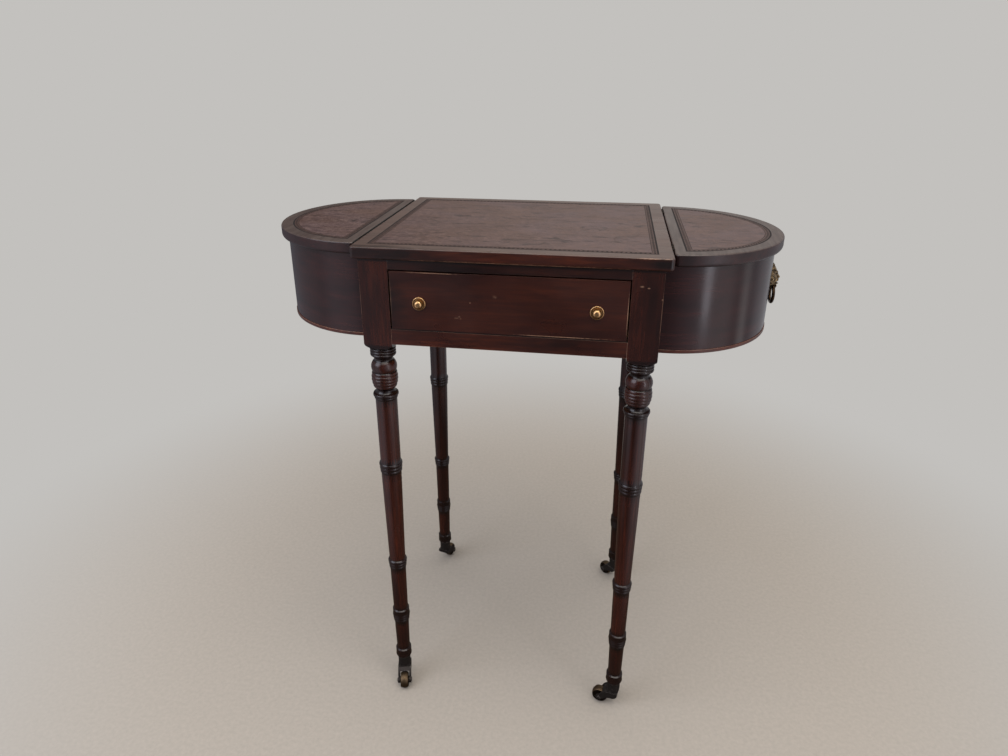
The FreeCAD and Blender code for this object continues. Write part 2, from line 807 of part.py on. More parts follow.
def lion_mask():
    """The right lion mask: mane, face, muzzle, chin and a jaw with the eye that the ring hangs in."""
    face = facing_out(dome(mask_face_radius, mask_face_reach), bin_end_x, mask_height)
    muzzle = facing_out(dome(mask_muzzle_radius, mask_muzzle_reach), bin_end_x,
                        mask_height - mask_muzzle_drop)
    half = mask_jaw_width / 2
    jaw = rod(mask_jaw_radius, V(pull_x, -half, pull_z), V(pull_x, half, pull_z))
    chin = facing_out(dome(mask_chin_radius, mask_chin_reach), bin_end_x, mask_height - mask_chin_drop)
    beard = block(bin_end_x, pull_x, -half, half, pull_z, mask_height)
    mask = mane().fuse([face, muzzle, chin, beard, jaw])
    eye = rod(pull_wire_radius + pull_eye_clearance, V(pull_x, -mask_radius, pull_z),
              V(pull_x, mask_radius, pull_z))
    wall = Part.makeCylinder(bin_radius + mask_seat_clearance, top_height, V(bin_center_x, 0, 0))
    bolt_hole = rod(mask_bolt_radius + joint_clearance, V(bin_center_x, 0, mask_height),
                    V(bin_end_x + mask_bolt_grip + joint_clearance, 0, mask_height))
    return mask.cut([eye, wall, bolt_hole]).removeSplitter()


def pull_ring():
    """The right pull ring, hanging in the mask's eye."""
    return Part.makeTorus(pull_ring_radius, pull_wire_radius,
                          V(pull_x, 0, pull_z - pull_ring_radius), V(1, 0, 0))


def mask_bolt():
    """The bolt that holds the right mask, with its cap nut inside the bin."""
    inner_face = bin_end_x - bin_wall_thickness - mask_nut_gap
    seat = V(inner_face, 0, mask_height)
    shank = rod(mask_bolt_radius, seat, V(bin_end_x + mask_bolt_grip, 0, mask_height))
    nut = rod(mask_nut_radius, seat - V(mask_nut_thickness, 0, 0), seat)
    return shank.fuse(nut).removeSplitter()


parts["right_bin_wall"] = bin_wall()
parts["right_bin_bottom"] = bin_bottom()
parts["right_lion_mask"] = lion_mask()
parts["right_pull_ring"] = pull_ring()
parts["right_mask_bolt"] = mask_bolt()

for right_name in [name for name in parts if name.startswith("right_")]:
    left_name = right_name.replace("right_", "left_", 1)
    if left_name not in parts:
        parts[left_name] = mirrored(parts[right_name])


# Casters, made at the origin with the wheel trailing towards +X
def caster_cup():
    """The cup that takes the leg's spigot, with a hole in its floor for the swivel pin."""
    shape = Turning(cup_top_radius, cup_top_height)
    shape.drop(cup_top_radius, cup_lip)
    shape.to(cup_top_radius - cup_lip / 2, shape.at.z)
    shape.to(cup_bottom_radius, cup_bottom)
    bore = rod(spigot_radius + cup_bore_clearance, V(0, 0, cup_bottom + cup_floor_thickness),
               V(0, 0, cup_top_height))
    hole = rod(swivel_pin_radius + running_clearance, V(0, 0, cup_bottom), V(0, 0, cup_top_height))
    return shape.solid().cut([bore, hole])


def bowed(start, end, bow):
    """An arc between two points in the XZ plane, bowed to the left of the way from one to the other."""
    along = end - start
    side = V(-along.z, 0, along.x).normalize()
    return Part.Arc(start, (start + end) * 0.5 + side * bow, end).toShape()


def caster_fork():
    """The horn-shaped fork: two prongs joined by a crown and a heel, with a riveted swivel pin."""
    heel = V(fork_heel_reach, 0, fork_heel_rise)
    boss_low = V(caster_trail, 0, wheel_radius - fork_boss_radius)
    boss_out = V(caster_trail + fork_boss_radius, 0, wheel_radius)
    boss_high = V(caster_trail, 0, wheel_radius + fork_boss_radius)
    crown_front = V(fork_crown_reach, 0, fork_top)
    crown_back = V(-fork_back_reach, 0, fork_top)
    heel_top = V(-fork_back_reach, 0, fork_top - fork_heel_drop)
    outline = closed_face([
        Part.makeLine(crown_front, crown_back),
        Part.makeLine(crown_back, heel_top),
        bowed(heel_top, heel, -fork_heel_swell),
        bowed(heel, boss_low, fork_arm_bow),
        Part.Arc(boss_low, boss_out, boss_high).toShape(),
        bowed(boss_high, crown_front, -fork_arm_bow),
    ])
    half = wheel_width / 2 + fork_side_gap + fork_prong
    body = outline.translated(V(0, -half, 0)).extrude(V(0, 2 * half, 0))
    axis = V(caster_trail, 0, wheel_radius)
    pocket_half = V(0, wheel_width / 2 + fork_side_gap, 0)
    pocket = rod(wheel_radius + fork_wheel_gap, axis - pocket_half, axis + pocket_half)
    bore = rod(axle_radius + joint_clearance / 2, axis - V(0, half, 0), axis + V(0, half, 0))
    pin_top = cup_bottom + cup_floor_thickness + swivel_gap
    pin = rod(swivel_pin_radius, V(0, 0, fork_top - swivel_gap), V(0, 0, pin_top))
    head = rod(swivel_head_radius, V(0, 0, pin_top), V(0, 0, pin_top + swivel_head_thickness))
    return body.cut([pocket, bore]).fuse([pin, head]).removeSplitter()


def on_axle(shape):
    """A shape turned from the Z axis onto the wheel's axle."""
    turned = shape.copy()
    turned.rotate(V(0, 0, 0), V(1, 0, 0), 90)
    return turned.translated(V(caster_trail, 0, wheel_radius))


def caster_wheel():
    """The wheel, with a crowned tread and a hub that stands out on both sides."""
    half = wheel_width / 2
    shape = Turning(wheel_hub_radius, half)
    shape.drop(wheel_hub_radius, wheel_dish)
    shape.to(wheel_radius - wheel_crown, half - wheel_dish)
    shape.curve(wheel_radius - wheel_crown, wheel_width - 2 * wheel_dish, wheel_crown)
    shape.to(wheel_hub_radius, wheel_dish - half)
    shape.to(wheel_hub_radius, -half)
    bore = rod(axle_radius + running_clearance, V(0, 0, -half), V(0, 0, half))
    return on_axle(shape.solid().cut(bore))


def caster_axle():
    """The axle, riveted over at both ends."""
    half = wheel_width / 2 + fork_side_gap + fork_prong
    rim = axle_head_radius - axle_head_thickness / 2
    shape = Turning(rim, half + axle_head_thickness)
    shape.to(axle_head_radius, half)
    shape.to(axle_radius, half)
    shape.to(axle_radius, -half)
    shape.to(axle_head_radius, -half)
    shape.to(rim, -half - axle_head_thickness)
    return on_axle(shape.solid())


caster_pieces = {
    "cup": caster_cup(),
    "fork": caster_fork(),
    "wheel": caster_wheel(),
    "axle": caster_axle(),
}
for corner, heading in caster_headings.items():
    place_x = leg_x if corner.endswith("right") else -leg_x
    place_y = -leg_y if corner.startswith("front") else leg_y
    for piece, shape in caster_pieces.items():
        placed = shape.copy()
        placed.rotate(V(0, 0, 0), V(0, 0, 1), heading)
        parts[corner + "_caster_" + piece] = placed.translated(V(place_x, place_y, 0))

os.makedirs("parts", exist_ok=True)
for name, shape in parts.items():
    shape.exportStep("parts/" + name + ".step")
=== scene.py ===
import json
import logging
import math
from dataclasses import dataclass, replace
from enum import Enum
from functools import cache
from typing import Callable, Iterable

import bmesh
import bpy
from bpy.types import Material, Mesh, Node, NodeSocket, NodeTree, Object
from mathutils import Matrix, Vector


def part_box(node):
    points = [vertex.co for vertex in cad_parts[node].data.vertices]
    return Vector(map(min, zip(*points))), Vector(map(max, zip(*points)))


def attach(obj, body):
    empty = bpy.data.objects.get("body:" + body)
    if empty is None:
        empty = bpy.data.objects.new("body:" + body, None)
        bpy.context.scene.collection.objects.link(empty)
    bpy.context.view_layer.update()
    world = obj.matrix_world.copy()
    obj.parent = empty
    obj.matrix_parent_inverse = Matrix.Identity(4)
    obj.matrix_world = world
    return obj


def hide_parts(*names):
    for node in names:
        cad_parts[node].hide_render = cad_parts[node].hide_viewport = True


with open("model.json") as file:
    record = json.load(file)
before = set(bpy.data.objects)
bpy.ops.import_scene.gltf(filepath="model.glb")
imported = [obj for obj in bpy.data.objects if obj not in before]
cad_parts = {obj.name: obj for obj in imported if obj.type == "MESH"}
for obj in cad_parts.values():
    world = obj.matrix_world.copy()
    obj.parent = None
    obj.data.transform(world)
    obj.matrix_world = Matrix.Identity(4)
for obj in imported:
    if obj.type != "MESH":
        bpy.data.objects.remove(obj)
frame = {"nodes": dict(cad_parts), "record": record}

LOG = logging.getLogger("sewing_stand")
MM = 0.001
NODES: dict[str, Object] = frame["nodes"]
BEHAVIOUR: dict = frame["record"]["behaviour"]
BODY_OF: dict[str, str] = {node: body for body, nodes in BEHAVIOUR["bodies"].items() for node in nodes}
JOINTS: dict[str, dict] = {joint["name"]: joint for joint in BEHAVIOUR["joints"]}

# What a mesh says of its faces or points: rubbed bare, dark in a recess (on a leg block's inner face,
# painted shade), or darkened by painted shade in a gap.
WORN = "worn"
HOLLOW = "hollow"
GAP_SHADE = "grime"

# Points closer than this are one point, and a bend below this angle is flat.
WELD_MM = 0.0005
FLAT_DEGREES = 0.2

# What feeds a socket. Some sockets go by number: Map Range takes its value at 0, the range it comes from at
# 1 and 2 and the range it goes to at 3 and 4, and Mix takes the share at 0 and two colours at 6 and 7.
Feed = Node | NodeSocket
Pair = tuple[float, float]
Triple = tuple[float, float, float]


class Side(Enum):
    """The two ends of the stand, with the sign of x on each."""

    LEFT = -1
    RIGHT = 1

    @property
    def label(self) -> str:
        """The word that starts this end's node names."""
        return self.name.lower()


class Corner(Enum):
    """The four legs."""

    FRONT_LEFT = "front_left"
    FRONT_RIGHT = "front_right"
    BACK_LEFT = "back_left"
    BACK_RIGHT = "back_right"


class Grain(Enum):
    """The frame axis that a board's grain follows."""

    ALONG_X = 0
    ALONG_Y = 1
    ALONG_Z = 2


def linear(code: str) -> tuple[float, float, float, float]:
    """Turn an sRGB hex colour into the linear colour that the shaders take.

    Args:
        code: The colour as "#rrggbb".

    Returns:
        Linear red, green, blue and an alpha of 1.
    """
    shares = [int(code[start:start + 2], 16) / 255 for start in (1, 3, 5)]
    red, green, blue = [
        share / 12.92 if share <= 0.04045 else ((share + 0.055) / 1.055) ** 2.4 for share in shares
    ]
    return red, green, blue, 1.0


def add(tree: NodeTree, kind: str, inputs: dict | None = None, **settings: object) -> Node:
    """Add a node to a tree with its settings and what feeds it.

    Args:
        tree: The tree that takes the node.
        kind: The node's type.
        inputs: Socket names or numbers, each with a value, or with the socket or node that feeds it.
        settings: The node's own options.

    Returns:
        The new node. Fed to another, it gives its first output in use.
    """
    node = tree.nodes.new(kind)
    for name, value in settings.items():
        setattr(node, name, value)
    for key, value in (inputs or {}).items():
        if isinstance(value, Node):
            value = next(output for output in value.outputs if output.enabled)
        if isinstance(value, NodeSocket):
            tree.links.new(value, node.inputs[key])
        else:
            node.inputs[key].default_value = value
    return node


def bare_tree(owner: Material | bpy.types.World) -> NodeTree:
    """Empty the node tree of a material or a world.

    Args:
        owner: The material or the world.

    Returns:
        Its tree, with no nodes.
    """
    owner.use_nodes = True
    owner.node_tree.nodes.clear()
    return owner.node_tree


def figure(tree: NodeTree, place: Feed, size: Pair, grain: Grain, detail: float) -> Node:
    """Draw a soft random figure, stretched along the grain.

    Args:
        tree: The material's tree.
        place: The position that it is drawn in, in metres.
        size: The length and width of its features in millimetres.
        grain: The direction of the grain.
        detail: How many finer layers it has.

    Returns:
        The figure, from 0 to 1.
    """
    along, across = size
    per_metre = [1 / ((along if axis == grain.value else across) * MM) for axis in range(3)]
    scaled = add(tree, "ShaderNodeVectorMath", {0: place, 1: per_metre}, operation="MULTIPLY")
    return add(
        tree, "ShaderNodeTexNoise",
        {"Vector": scaled, "Scale": 1.0, "Detail": detail, "Roughness": 0.6, "Distortion": 0.3},
    )


def coats(tree: NodeTree, base: str, layers: Iterable[tuple[Feed, str]]) -> Feed:
    """Lay colours over a base, one after the other.

    Args:
        tree: The material's tree.
        base: The lowest colour as sRGB hex.
        layers: How much of each further colour shows, and that colour as sRGB hex.

    Returns:
        The colour on top.
    """
    top = linear(base)
    for share, code in layers:
        top = add(tree, "ShaderNodeMix", {0: share, 6: top, 7: linear(code)}, data_type="RGBA")
    return top


def close_to(tree: NodeTree, value: Feed, middle: float, reach: Pair, most: float) -> Node:
    """Mark where a value lies close to a middle.

    Args:
        tree: The material's tree.
        value: The value.
        middle: The middle.
        reach: How far from the middle the mark starts, and how far from it the mark is full.
        most: How strong the full mark is.

    Returns:
        How strong the mark is.
    """
    off = add(tree, "ShaderNodeMath", {0: value, 1: middle}, operation="SUBTRACT")
    away = add(tree, "ShaderNodeMath", {0: off}, operation="ABSOLUTE")
    return add(tree, "ShaderNodeMapRange", {0: away, 1: reach[0], 2: reach[1], 4: most})


def strongest(tree: NodeTree, mark: Feed, others: Iterable[Feed]) -> Feed:
    """Join marks so that the strongest one counts everywhere.

    Args:
        tree: The material's tree.
        mark: The first mark.
        others: The marks that join it.

    Returns:
        How strong the joined mark is.
    """
    for other in others:
        mark = add(tree, "ShaderNodeMath", {0: mark, 1: other}, operation="MAXIMUM")
    return mark


@dataclass(frozen=True)
class SurfaceMark:
    """A spot where a finish is rubbed through, a thin line of painted edge highlight, or a patch of painted
    shade, in millimetres in the frame.

    Its rim says where the mark starts and where it is full, in shares of its size.
    """

    center: Triple
    size: Triple
    strength: float = 0.75
    rim: Pair = (1.35, 0.8)

    def share(self, tree: NodeTree, place: NodeSocket, ragged: Node) -> Node:
        """Mark the spot.

        Args:
            tree: The material's tree.
            place: The position in the frame.
            ragged: A fine figure that tears the spot's edge.

        Returns:
            How strong the mark is, from 0 to 1.
        """
        to_center = Vector(self.center) * -MM
        per_metre = [1 / (size * MM) for size in self.size]
        offset = add(tree, "ShaderNodeVectorMath", {0: place, 1: to_center}, operation="ADD")
        spread = add(tree, "ShaderNodeVectorMath", {0: offset, 1: per_metre}, operation="MULTIPLY")
        reach = add(tree, "ShaderNodeVectorMath", {0: spread}, operation="LENGTH")
        torn = add(tree, "ShaderNodeMath", {0: reach, 1: ragged}, operation="ADD")
        return add(tree, "ShaderNodeMapRange", {0: torn, 1: self.rim[0], 2: self.rim[1], 4: self.strength})


@dataclass(frozen=True)
class Finish:
    """What a piece is made of, and how its surface was made."""

    name: str

    @cache
    def material(self) -> Material:
        """Build the material, once for all the pieces that share it.

        Returns:
            The material.
        """
        material = bpy.data.materials.new(self.name)
        tree = bare_tree(material)
        place = add(tree, "ShaderNodeTexCoord").outputs["Object"]
        shader = add(tree, "ShaderNodeBsdfPrincipled", self.dress(tree, place))
        add(tree, "ShaderNodeOutputMaterial", {"Surface": shader})
        return material

    def dress(self, tree: NodeTree, place: NodeSocket) -> dict:
        """Draw the surface.

        Args:
            tree: The material's tree.
            place: The position in the frame.

        Returns:
            What goes into the shader's sockets.
        """
        raise NotImplementedError


@dataclass(frozen=True)
class Mahogany(Finish):
    """Mahogany, planed or turned, stained dark red-brown and lacquered to a satin gloss.

    It gives the eye near-black ribbons and warm red streaks under one clear, even shine. Its bend is in
    metres, and its bands of stain and of painted shadow, and the height that it is faded above, are in
    millimetres.
    """

    grain: Grain
    bend_center_x: float | None = None
    bend_radius: float = 0.1435
    # Scuffs, and thin lines of painted edge highlight.
    scuffs: tuple[SurfaceMark, ...] = ()
    # Patches of painted shade.
    smudges: tuple[SurfaceMark, ...] = ()
    stain_bands: tuple[Pair, ...] = ()
    faded_above: float | None = None
    edge_wear: float = 0.5
    gloss: Pair = (0.26, 0.38)
    # The near-black of the painted shade in gaps.
    grime: str = "#070504"
    # The colour of the stain, and of the painted shade in patches and bands.
    stain: str = "#120a09"
    ground: str = "#220e0b"
    body: str = "#3d1a12"
    streak: str = "#602c19"
    # The colour of bare wood, also used for the painted edge highlights.
    bare: str = "#a58069"
    faded: str = "#5d4c44"
    ribbon_mm: Pair = (150.0, 34.0)
    streak_mm: Pair = (52.0, 4.2)
    pore_mm: Pair = (8.0, 0.7)
    haze_mm: Pair = (90.0, 60.0)
    # The figure that tears the edges of the patches of painted shade.
    smear_mm: Pair = (30.0, 8.0)
    patch_mm: Pair = (34.0, 34.0)
    chip_mm: Pair = (2.5, 2.5)
    pore_depth_mm: float = 0.15
    band_ease_mm: Pair = (1.6, 1.0)
    band_stain: float = 0.82
    fade_ease_mm: Pair = (0.6, 0.4)

    def unrolled(self, tree: NodeTree, place: NodeSocket) -> Feed:
        """Give the position that the grain is drawn in, unrolled where the board is bent.

        Args:
            tree: The material's tree.
            place: The position in the frame.

        Returns:
            A position in metres.
        """
        if self.bend_center_x is None:
            return place
        to_center = (-self.bend_center_x, 0, 0)
        shifted = add(tree, "ShaderNodeVectorMath", {0: place, 1: to_center}, operation="ADD")
        axes = add(tree, "ShaderNodeSeparateXYZ", {0: shifted}).outputs
        sign = math.copysign(1, self.bend_center_x)
        outward = add(tree, "ShaderNodeMath", {0: axes["X"], 1: sign}, operation="MULTIPLY")
        angle = add(tree, "ShaderNodeMath", {0: axes["Y"], 1: outward}, operation="ARCTAN2")
        run = add(tree, "ShaderNodeMath", {0: angle, 1: self.bend_radius}, operation="MULTIPLY")
        return add(tree, "ShaderNodeCombineXYZ", {"X": run, "Z": axes["Z"]})

    def stained(self, tree: NodeTree, place: NodeSocket, height: NodeSocket) -> Feed:
        """Mark where the stain lies thick, in hollows and on the ringed parts of a turning, and where shade
        is painted, in patches and in bands under an overhang.

        Args:
            tree: The material's tree.
            place: The position in the frame.
            height: The height in the frame.

        Returns:
            How dark the stain and the painted shade are, from 0 to 1.
        """
        marks = []
        outside, inside = self.band_ease_mm
        # Bands of stain on a turning's rings, and bands of painted shadow under an overhang.
        for low, high in self.stain_bands:
            half = (high - low) / 2 * MM
            reach = (half + outside * MM, half - inside * MM)
            marks.append(close_to(tree, height, (high + low) / 2 * MM, reach, self.band_stain))
        ragged = figure(tree, place, self.smear_mm, self.grain, 2.0)
        # Patches of painted shade.
        marks += [shade_patch.share(tree, place, ragged) for shade_patch in self.smudges]
        hollow = add(tree, "ShaderNodeAttribute", attribute_name=HOLLOW).outputs["Fac"]
        return strongest(tree, hollow, marks)

    def wear(self, tree: NodeTree, place: NodeSocket) -> Feed:
        """Mark where the finish is rubbed through, along worn edges and at the scuffs, and the thin lines
        of painted edge highlight.

        Args:
            tree: The material's tree.
            place: The position in the frame.

        Returns:
            How bare the wood is, and how strong the painted edge highlight, from 0 to 1.
        """
        patches = figure(tree, place, self.patch_mm, self.grain, 4.0)
        torn = add(tree, "ShaderNodeMapRange", {0: patches, 1: 0.32, 2: 0.56, 3: 0.1, 4: self.edge_wear})
        edge = add(tree, "ShaderNodeAttribute", attribute_name=WORN).outputs["Fac"]
        bare = add(tree, "ShaderNodeMath", {0: edge, 1: torn}, operation="MULTIPLY")
        ragged = figure(tree, place, self.chip_mm, self.grain, 2.0)
        # Scuffs, and thin lines of painted edge highlight.
        return strongest(tree, bare, [surface_mark.share(tree, place, ragged) for surface_mark in self.scuffs])

    def sunned(self, tree: NodeTree, height: NodeSocket, lines: Node) -> Node:
        """Mark the upper face, which the light has bleached.

        Args:
            tree: The material's tree.
            height: The height in the frame.
            lines: The figure of the grain, which fades more in some streaks than in others.

        Returns:
            How faded the wood is, from 0 to 1.
        """
        edge = self.faded_above * MM
        below, above = self.fade_ease_mm
        most = add(tree, "ShaderNodeMapRange", {0: lines, 1: 0.35, 2: 0.65, 3: 0.5, 4: 0.95})
        return add(
            tree, "ShaderNodeMapRange", {0: height, 1: edge - below * MM, 2: edge + above * MM, 4: most}
        )

    def dress(self, tree: NodeTree, place: NodeSocket) -> dict:
        """Draw the grain, and over it what the sun, wear and stain have done to it, with painted shade and
        painted edge highlights laid over.

        Args:
            tree: The material's tree.
            place: The position in the frame.

        Returns:
            What goes into the shader's sockets.
        """
        board = self.unrolled(tree, place)
        height = add(tree, "ShaderNodeSeparateXYZ", {0: place}).outputs["Z"]
        pore = figure(tree, board, self.pore_mm, self.grain, 2.0)
        swirl = figure(tree, board, self.ribbon_mm, self.grain, 3.0)
        lines = figure(tree, board, self.streak_mm, self.grain, 5.0)
        haze = figure(tree, board, self.haze_mm, self.grain, 3.0)
        ribbon = add(tree, "ShaderNodeMapRange", {0: swirl, 1: 0.34, 2: 0.66})
        streak = add(tree, "ShaderNodeMapRange", {0: lines, 1: 0.44, 2: 0.78, 4: 0.85})
        warm = add(tree, "ShaderNodeMath", {0: streak, 1: ribbon}, operation="MULTIPLY")
        pores = add(tree, "ShaderNodeMapRange", {0: pore, 1: 0.58, 2: 0.74, 4: 0.5})
        clear, hazy = self.gloss
        dull = add(tree, "ShaderNodeMapRange", {0: haze, 1: 0.3, 2: 0.7, 3: clear, 4: hazy})
        # Painted shade in gaps between parts: near black, and rough so that it mirrors nothing.
        gap_shaded = add(tree, "ShaderNodeAttribute", attribute_name=GAP_SHADE).outputs["Fac"]
        layers = [(ribbon, self.body), (warm, self.streak), (pores, self.ground)]
        if self.faded_above is not None:
            layers.append((self.sunned(tree, height, lines), self.faded))
        layers += [
            (self.wear(tree, place), self.bare), (self.stained(tree, place, height), self.stain),
            (gap_shaded, self.grime),
        ]
        relief = add(
            tree, "ShaderNodeBump", {"Height": pore, "Strength": 0.1, "Distance": self.pore_depth_mm * MM}
        )
        return {
            "Base Color": coats(tree, self.ground, layers), "Roughness": strongest(tree, dull, [gap_shaded]),
            "IOR": 1.5, "Normal": relief,
        }


@dataclass(frozen=True)
class PlanedOak(Finish):
    """Oak, planed and left bare, for the drawer's inside: pale straw, darker open pores and no shine."""

    grain: Grain
    light: str = "#a98358"
    dark: str = "#7f5b39"
    band_mm: Pair = (220.0, 5.0)
    pore_mm: Pair = (9.0, 0.6)
    pore_depth_mm: float = 0.2

    def dress(self, tree: NodeTree, place: NodeSocket) -> dict:
        """Draw the bands of the grain and its open pores.

        Args:
            tree: The material's tree.
            place: The position in the frame.

        Returns:
            What goes into the shader's sockets.
        """
        band = figure(tree, place, self.band_mm, self.grain, 4.0)
        pore = figure(tree, place, self.pore_mm, self.grain, 2.0)
        share = add(tree, "ShaderNodeMapRange", {0: band, 1: 0.35, 2: 0.65})
        pores = add(tree, "ShaderNodeMapRange", {0: pore, 1: 0.58, 2: 0.72, 4: 0.6})
        relief = add(
            tree, "ShaderNodeBump", {"Height": pore, "Strength": 0.3, "Distance": self.pore_depth_mm * MM}
        )
        colour = coats(tree, self.dark, [(share, self.light), (pores, self.dark)])
        return {"Base Color": colour, "Roughness": 0.62, "IOR": 1.5, "Normal": relief}


@dataclass(frozen=True)
class WaxedLeather(Finish):
    """Calf leather, dyed oxblood, waxed and rubbed for decades.

    It gives the eye a dull brown-red with a purple bloom, a fine pebble, thin creases, a few long wrinkles
    and the ring that a wet glass left.
    """

    name: str = "waxed_oxblood_leather"
    dye: str = "#3e2a24"
    faded: str = "#5b443c"
    bloom: str = "#594748"
    rubbed: str = "#78635b"
    crack: str = "#1f1411"
    mottle_mm: Pair = (40.0, 40.0)
    bloom_mm: Pair = (75.0, 60.0)
    pebble_mm: Pair = (7.0, 6.0)
    crease_mm: Pair = (60.0, 13.0)
    wrinkle_mm: Pair = (150.0, 34.0)
    pebble_depth_mm: float = 0.3
    stain_at_mm: Triple = (152.0, -85.0, 736.0)
    stain_radius_mm: float = 24.0
    stain_line_mm: Pair = (1.8, 0.5)
    crease_line: Pair = (0.016, 0.004)
    wrinkle_line: Pair = (0.016, 0.005)

    def dress(self, tree: NodeTree, place: NodeSocket) -> dict:
        """Draw the faded dye, the pebble and the lines; a crease follows the middle level of its figure.

        Args:
            tree: The material's tree.
            place: The position in the frame.

        Returns:
            What goes into the shader's sockets.
        """
        mottle, cloud, wrinkle = (
            figure(tree, place, size, Grain.ALONG_X, 3.0)
            for size in (self.mottle_mm, self.bloom_mm, self.wrinkle_mm)
        )
        pebble, crease = (
            figure(tree, place, size, Grain.ALONG_X, 4.0) for size in (self.pebble_mm, self.crease_mm)
        )
        fade = add(tree, "ShaderNodeMapRange", {0: mottle, 1: 0.3, 2: 0.7, 3: 0.5, 4: 0.95})
        bloom = add(tree, "ShaderNodeMapRange", {0: cloud, 1: 0.36, 2: 0.68, 4: 0.7})
        rubs = add(tree, "ShaderNodeMapRange", {0: pebble, 1: 0.48, 2: 0.72, 4: 0.5})
        pits = add(tree, "ShaderNodeMapRange", {0: pebble, 1: 0.44, 2: 0.3, 4: 0.5})
        gaps = add(tree, "ShaderNodeMapRange", {0: crease, 1: 0.58, 2: 0.46, 4: 0.7})
        thin = close_to(tree, wrinkle, 0.5, self.wrinkle_line, 1.0)
        broken = add(tree, "ShaderNodeMath", {0: thin, 1: gaps}, operation="MULTIPLY")
        reach = add(
            tree, "ShaderNodeVectorMath", {0: place, 1: Vector(self.stain_at_mm) * MM}, operation="DISTANCE"
        )
        line = tuple(size * MM for size in self.stain_line_mm)
        ring = close_to(tree, reach, self.stain_radius_mm * MM, line, 0.55)
        fine = close_to(tree, crease, 0.5, self.crease_line, 0.45)
        colour = coats(tree, self.dye, [
            (fade, self.faded), (bloom, self.bloom), (rubs, self.rubbed), (pits, self.dye),
            (fine, self.crack), (broken, self.crack), (ring, self.dye),
        ])
        dull = add(tree, "ShaderNodeMapRange", {0: pebble, 1: 0.3, 2: 0.7, 3: 0.34, 4: 0.5})
        relief = add(
            tree, "ShaderNodeBump",
            {"Height": pebble, "Strength": 0.5, "Distance": self.pebble_depth_mm * MM},
        )
        return {"Base Color": colour, "Roughness": dull, "IOR": 1.45, "Normal": relief}


@dataclass(frozen=True)
class PressedLeather(Finish):
    """Leather pressed with a hot tool and no gold: the same hide, darkened by the heat."""

    scorched: str
    edge: str
    roughness: float
    mottle_mm: Pair = (6.0, 3.0)

    def dress(self, tree: NodeTree, place: NodeSocket) -> dict:
        """Draw the mottled scorch.

        Args:
            tree: The material's tree.
            place: The position in the frame.

        Returns:
            What goes into the shader's sockets.
        """
        mottle = figure(tree, place, self.mottle_mm, Grain.ALONG_X, 3.0)
        share = add(tree, "ShaderNodeMapRange", {0: mottle, 1: 0.4, 2: 0.7})
        colour = coats(tree, self.scorched, [(share, self.edge)])
        return {"Base Color": colour, "Roughness": self.roughness, "IOR": 1.45}


@dataclass(frozen=True)
class CastMetal(Finish):
    """Cast metal that has aged by handling: bright on what is rubbed, brown-black in what is not."""

    bright: str
    tarnish: str
    roughness: Pair
    tarnish_at: Pair = (0.42, 0.7)
    rubbed_edge: float = 0.6
    cloud_mm: float = 5.0
    cloud_depth_mm: float = 0.1

    def dress(self, tree: NodeTree, place: NodeSocket) -> dict:
        """Draw the tarnish, which stays in clouds and hollows and goes from rubbed edges.

        Args:
            tree: The material's tree.
            place: The position in the frame.

        Returns:
            What goes into the shader's sockets.
        """
        cloud = figure(tree, place, (self.cloud_mm, self.cloud_mm), Grain.ALONG_X, 4.0)
        cloudy = add(tree, "ShaderNodeMapRange", {0: cloud, 1: self.tarnish_at[0], 2: self.tarnish_at[1]})
        hollow = add(tree, "ShaderNodeAttribute", attribute_name=HOLLOW).outputs["Fac"]
        edge = add(tree, "ShaderNodeAttribute", attribute_name=WORN).outputs["Fac"]
        rubbed = add(tree, "ShaderNodeMath", {0: edge, 1: self.rubbed_edge}, operation="MULTIPLY")
        dark = strongest(tree, cloudy, [hollow])
        kept = add(tree, "ShaderNodeMath", {0: dark, 1: rubbed}, operation="SUBTRACT", use_clamp=True)
        dull = add(tree, "ShaderNodeMapRange", {0: kept, 3: self.roughness[0], 4: self.roughness[1]})
        relief = add(
            tree, "ShaderNodeBump", {"Height": cloud, "Strength": 0.2, "Distance": self.cloud_depth_mm * MM}
        )
        colour = coats(tree, self.bright, [(kept, self.tarnish)])
        return {"Base Color": colour, "Metallic": 1.0, "Roughness": dull, "Normal": relief}


KNOB_BRASS = CastMetal("turned_rubbed_brass", "#d2a876", "#75572b", (0.34, 0.5), tarnish_at=(0.3, 0.9))
MASK_BRASS = CastMetal(
    "cast_antique_brass", "#b39b74", "#261d15", (0.34, 0.55), tarnish_at=(0.36, 0.62), cloud_mm=3.0
)
RING_BRASS = CastMetal("drawn_dark_brass", "#4b3826", "#1d1611", (0.3, 0.48))
BLACKENED_BRASS = CastMetal("rolled_blackened_brass", "#2b221a", "#0e0b09", (0.6, 0.78))
STEEL = CastMetal("turned_steel", "#8d8a85", "#4b4742", (0.3, 0.5))
BRONZE = CastMetal("cast_patinated_bronze", "#847d78", "#484340", (0.5, 0.68), tarnish_at=(0.1, 0.42))
WHEEL_BRASS = CastMetal("cast_caster_brass", "#8a7459", "#2c241f", (0.4, 0.6), tarnish_at=(0.1, 0.35))


def finish_object(name: str, mesh: Mesh, material: Material) -> Object:
    """Put a finished mesh in the scene under its one material.

    Args:
        name: The piece's name.
        mesh: The mesh, with its place in its points.
        material: What it is made of.

    Returns:
        The new object.
    """
    mesh.materials.clear()
    mesh.materials.append(material)
    piece = bpy.data.objects.new(name, mesh)
    bpy.context.scene.collection.objects.link(piece)
    return piece


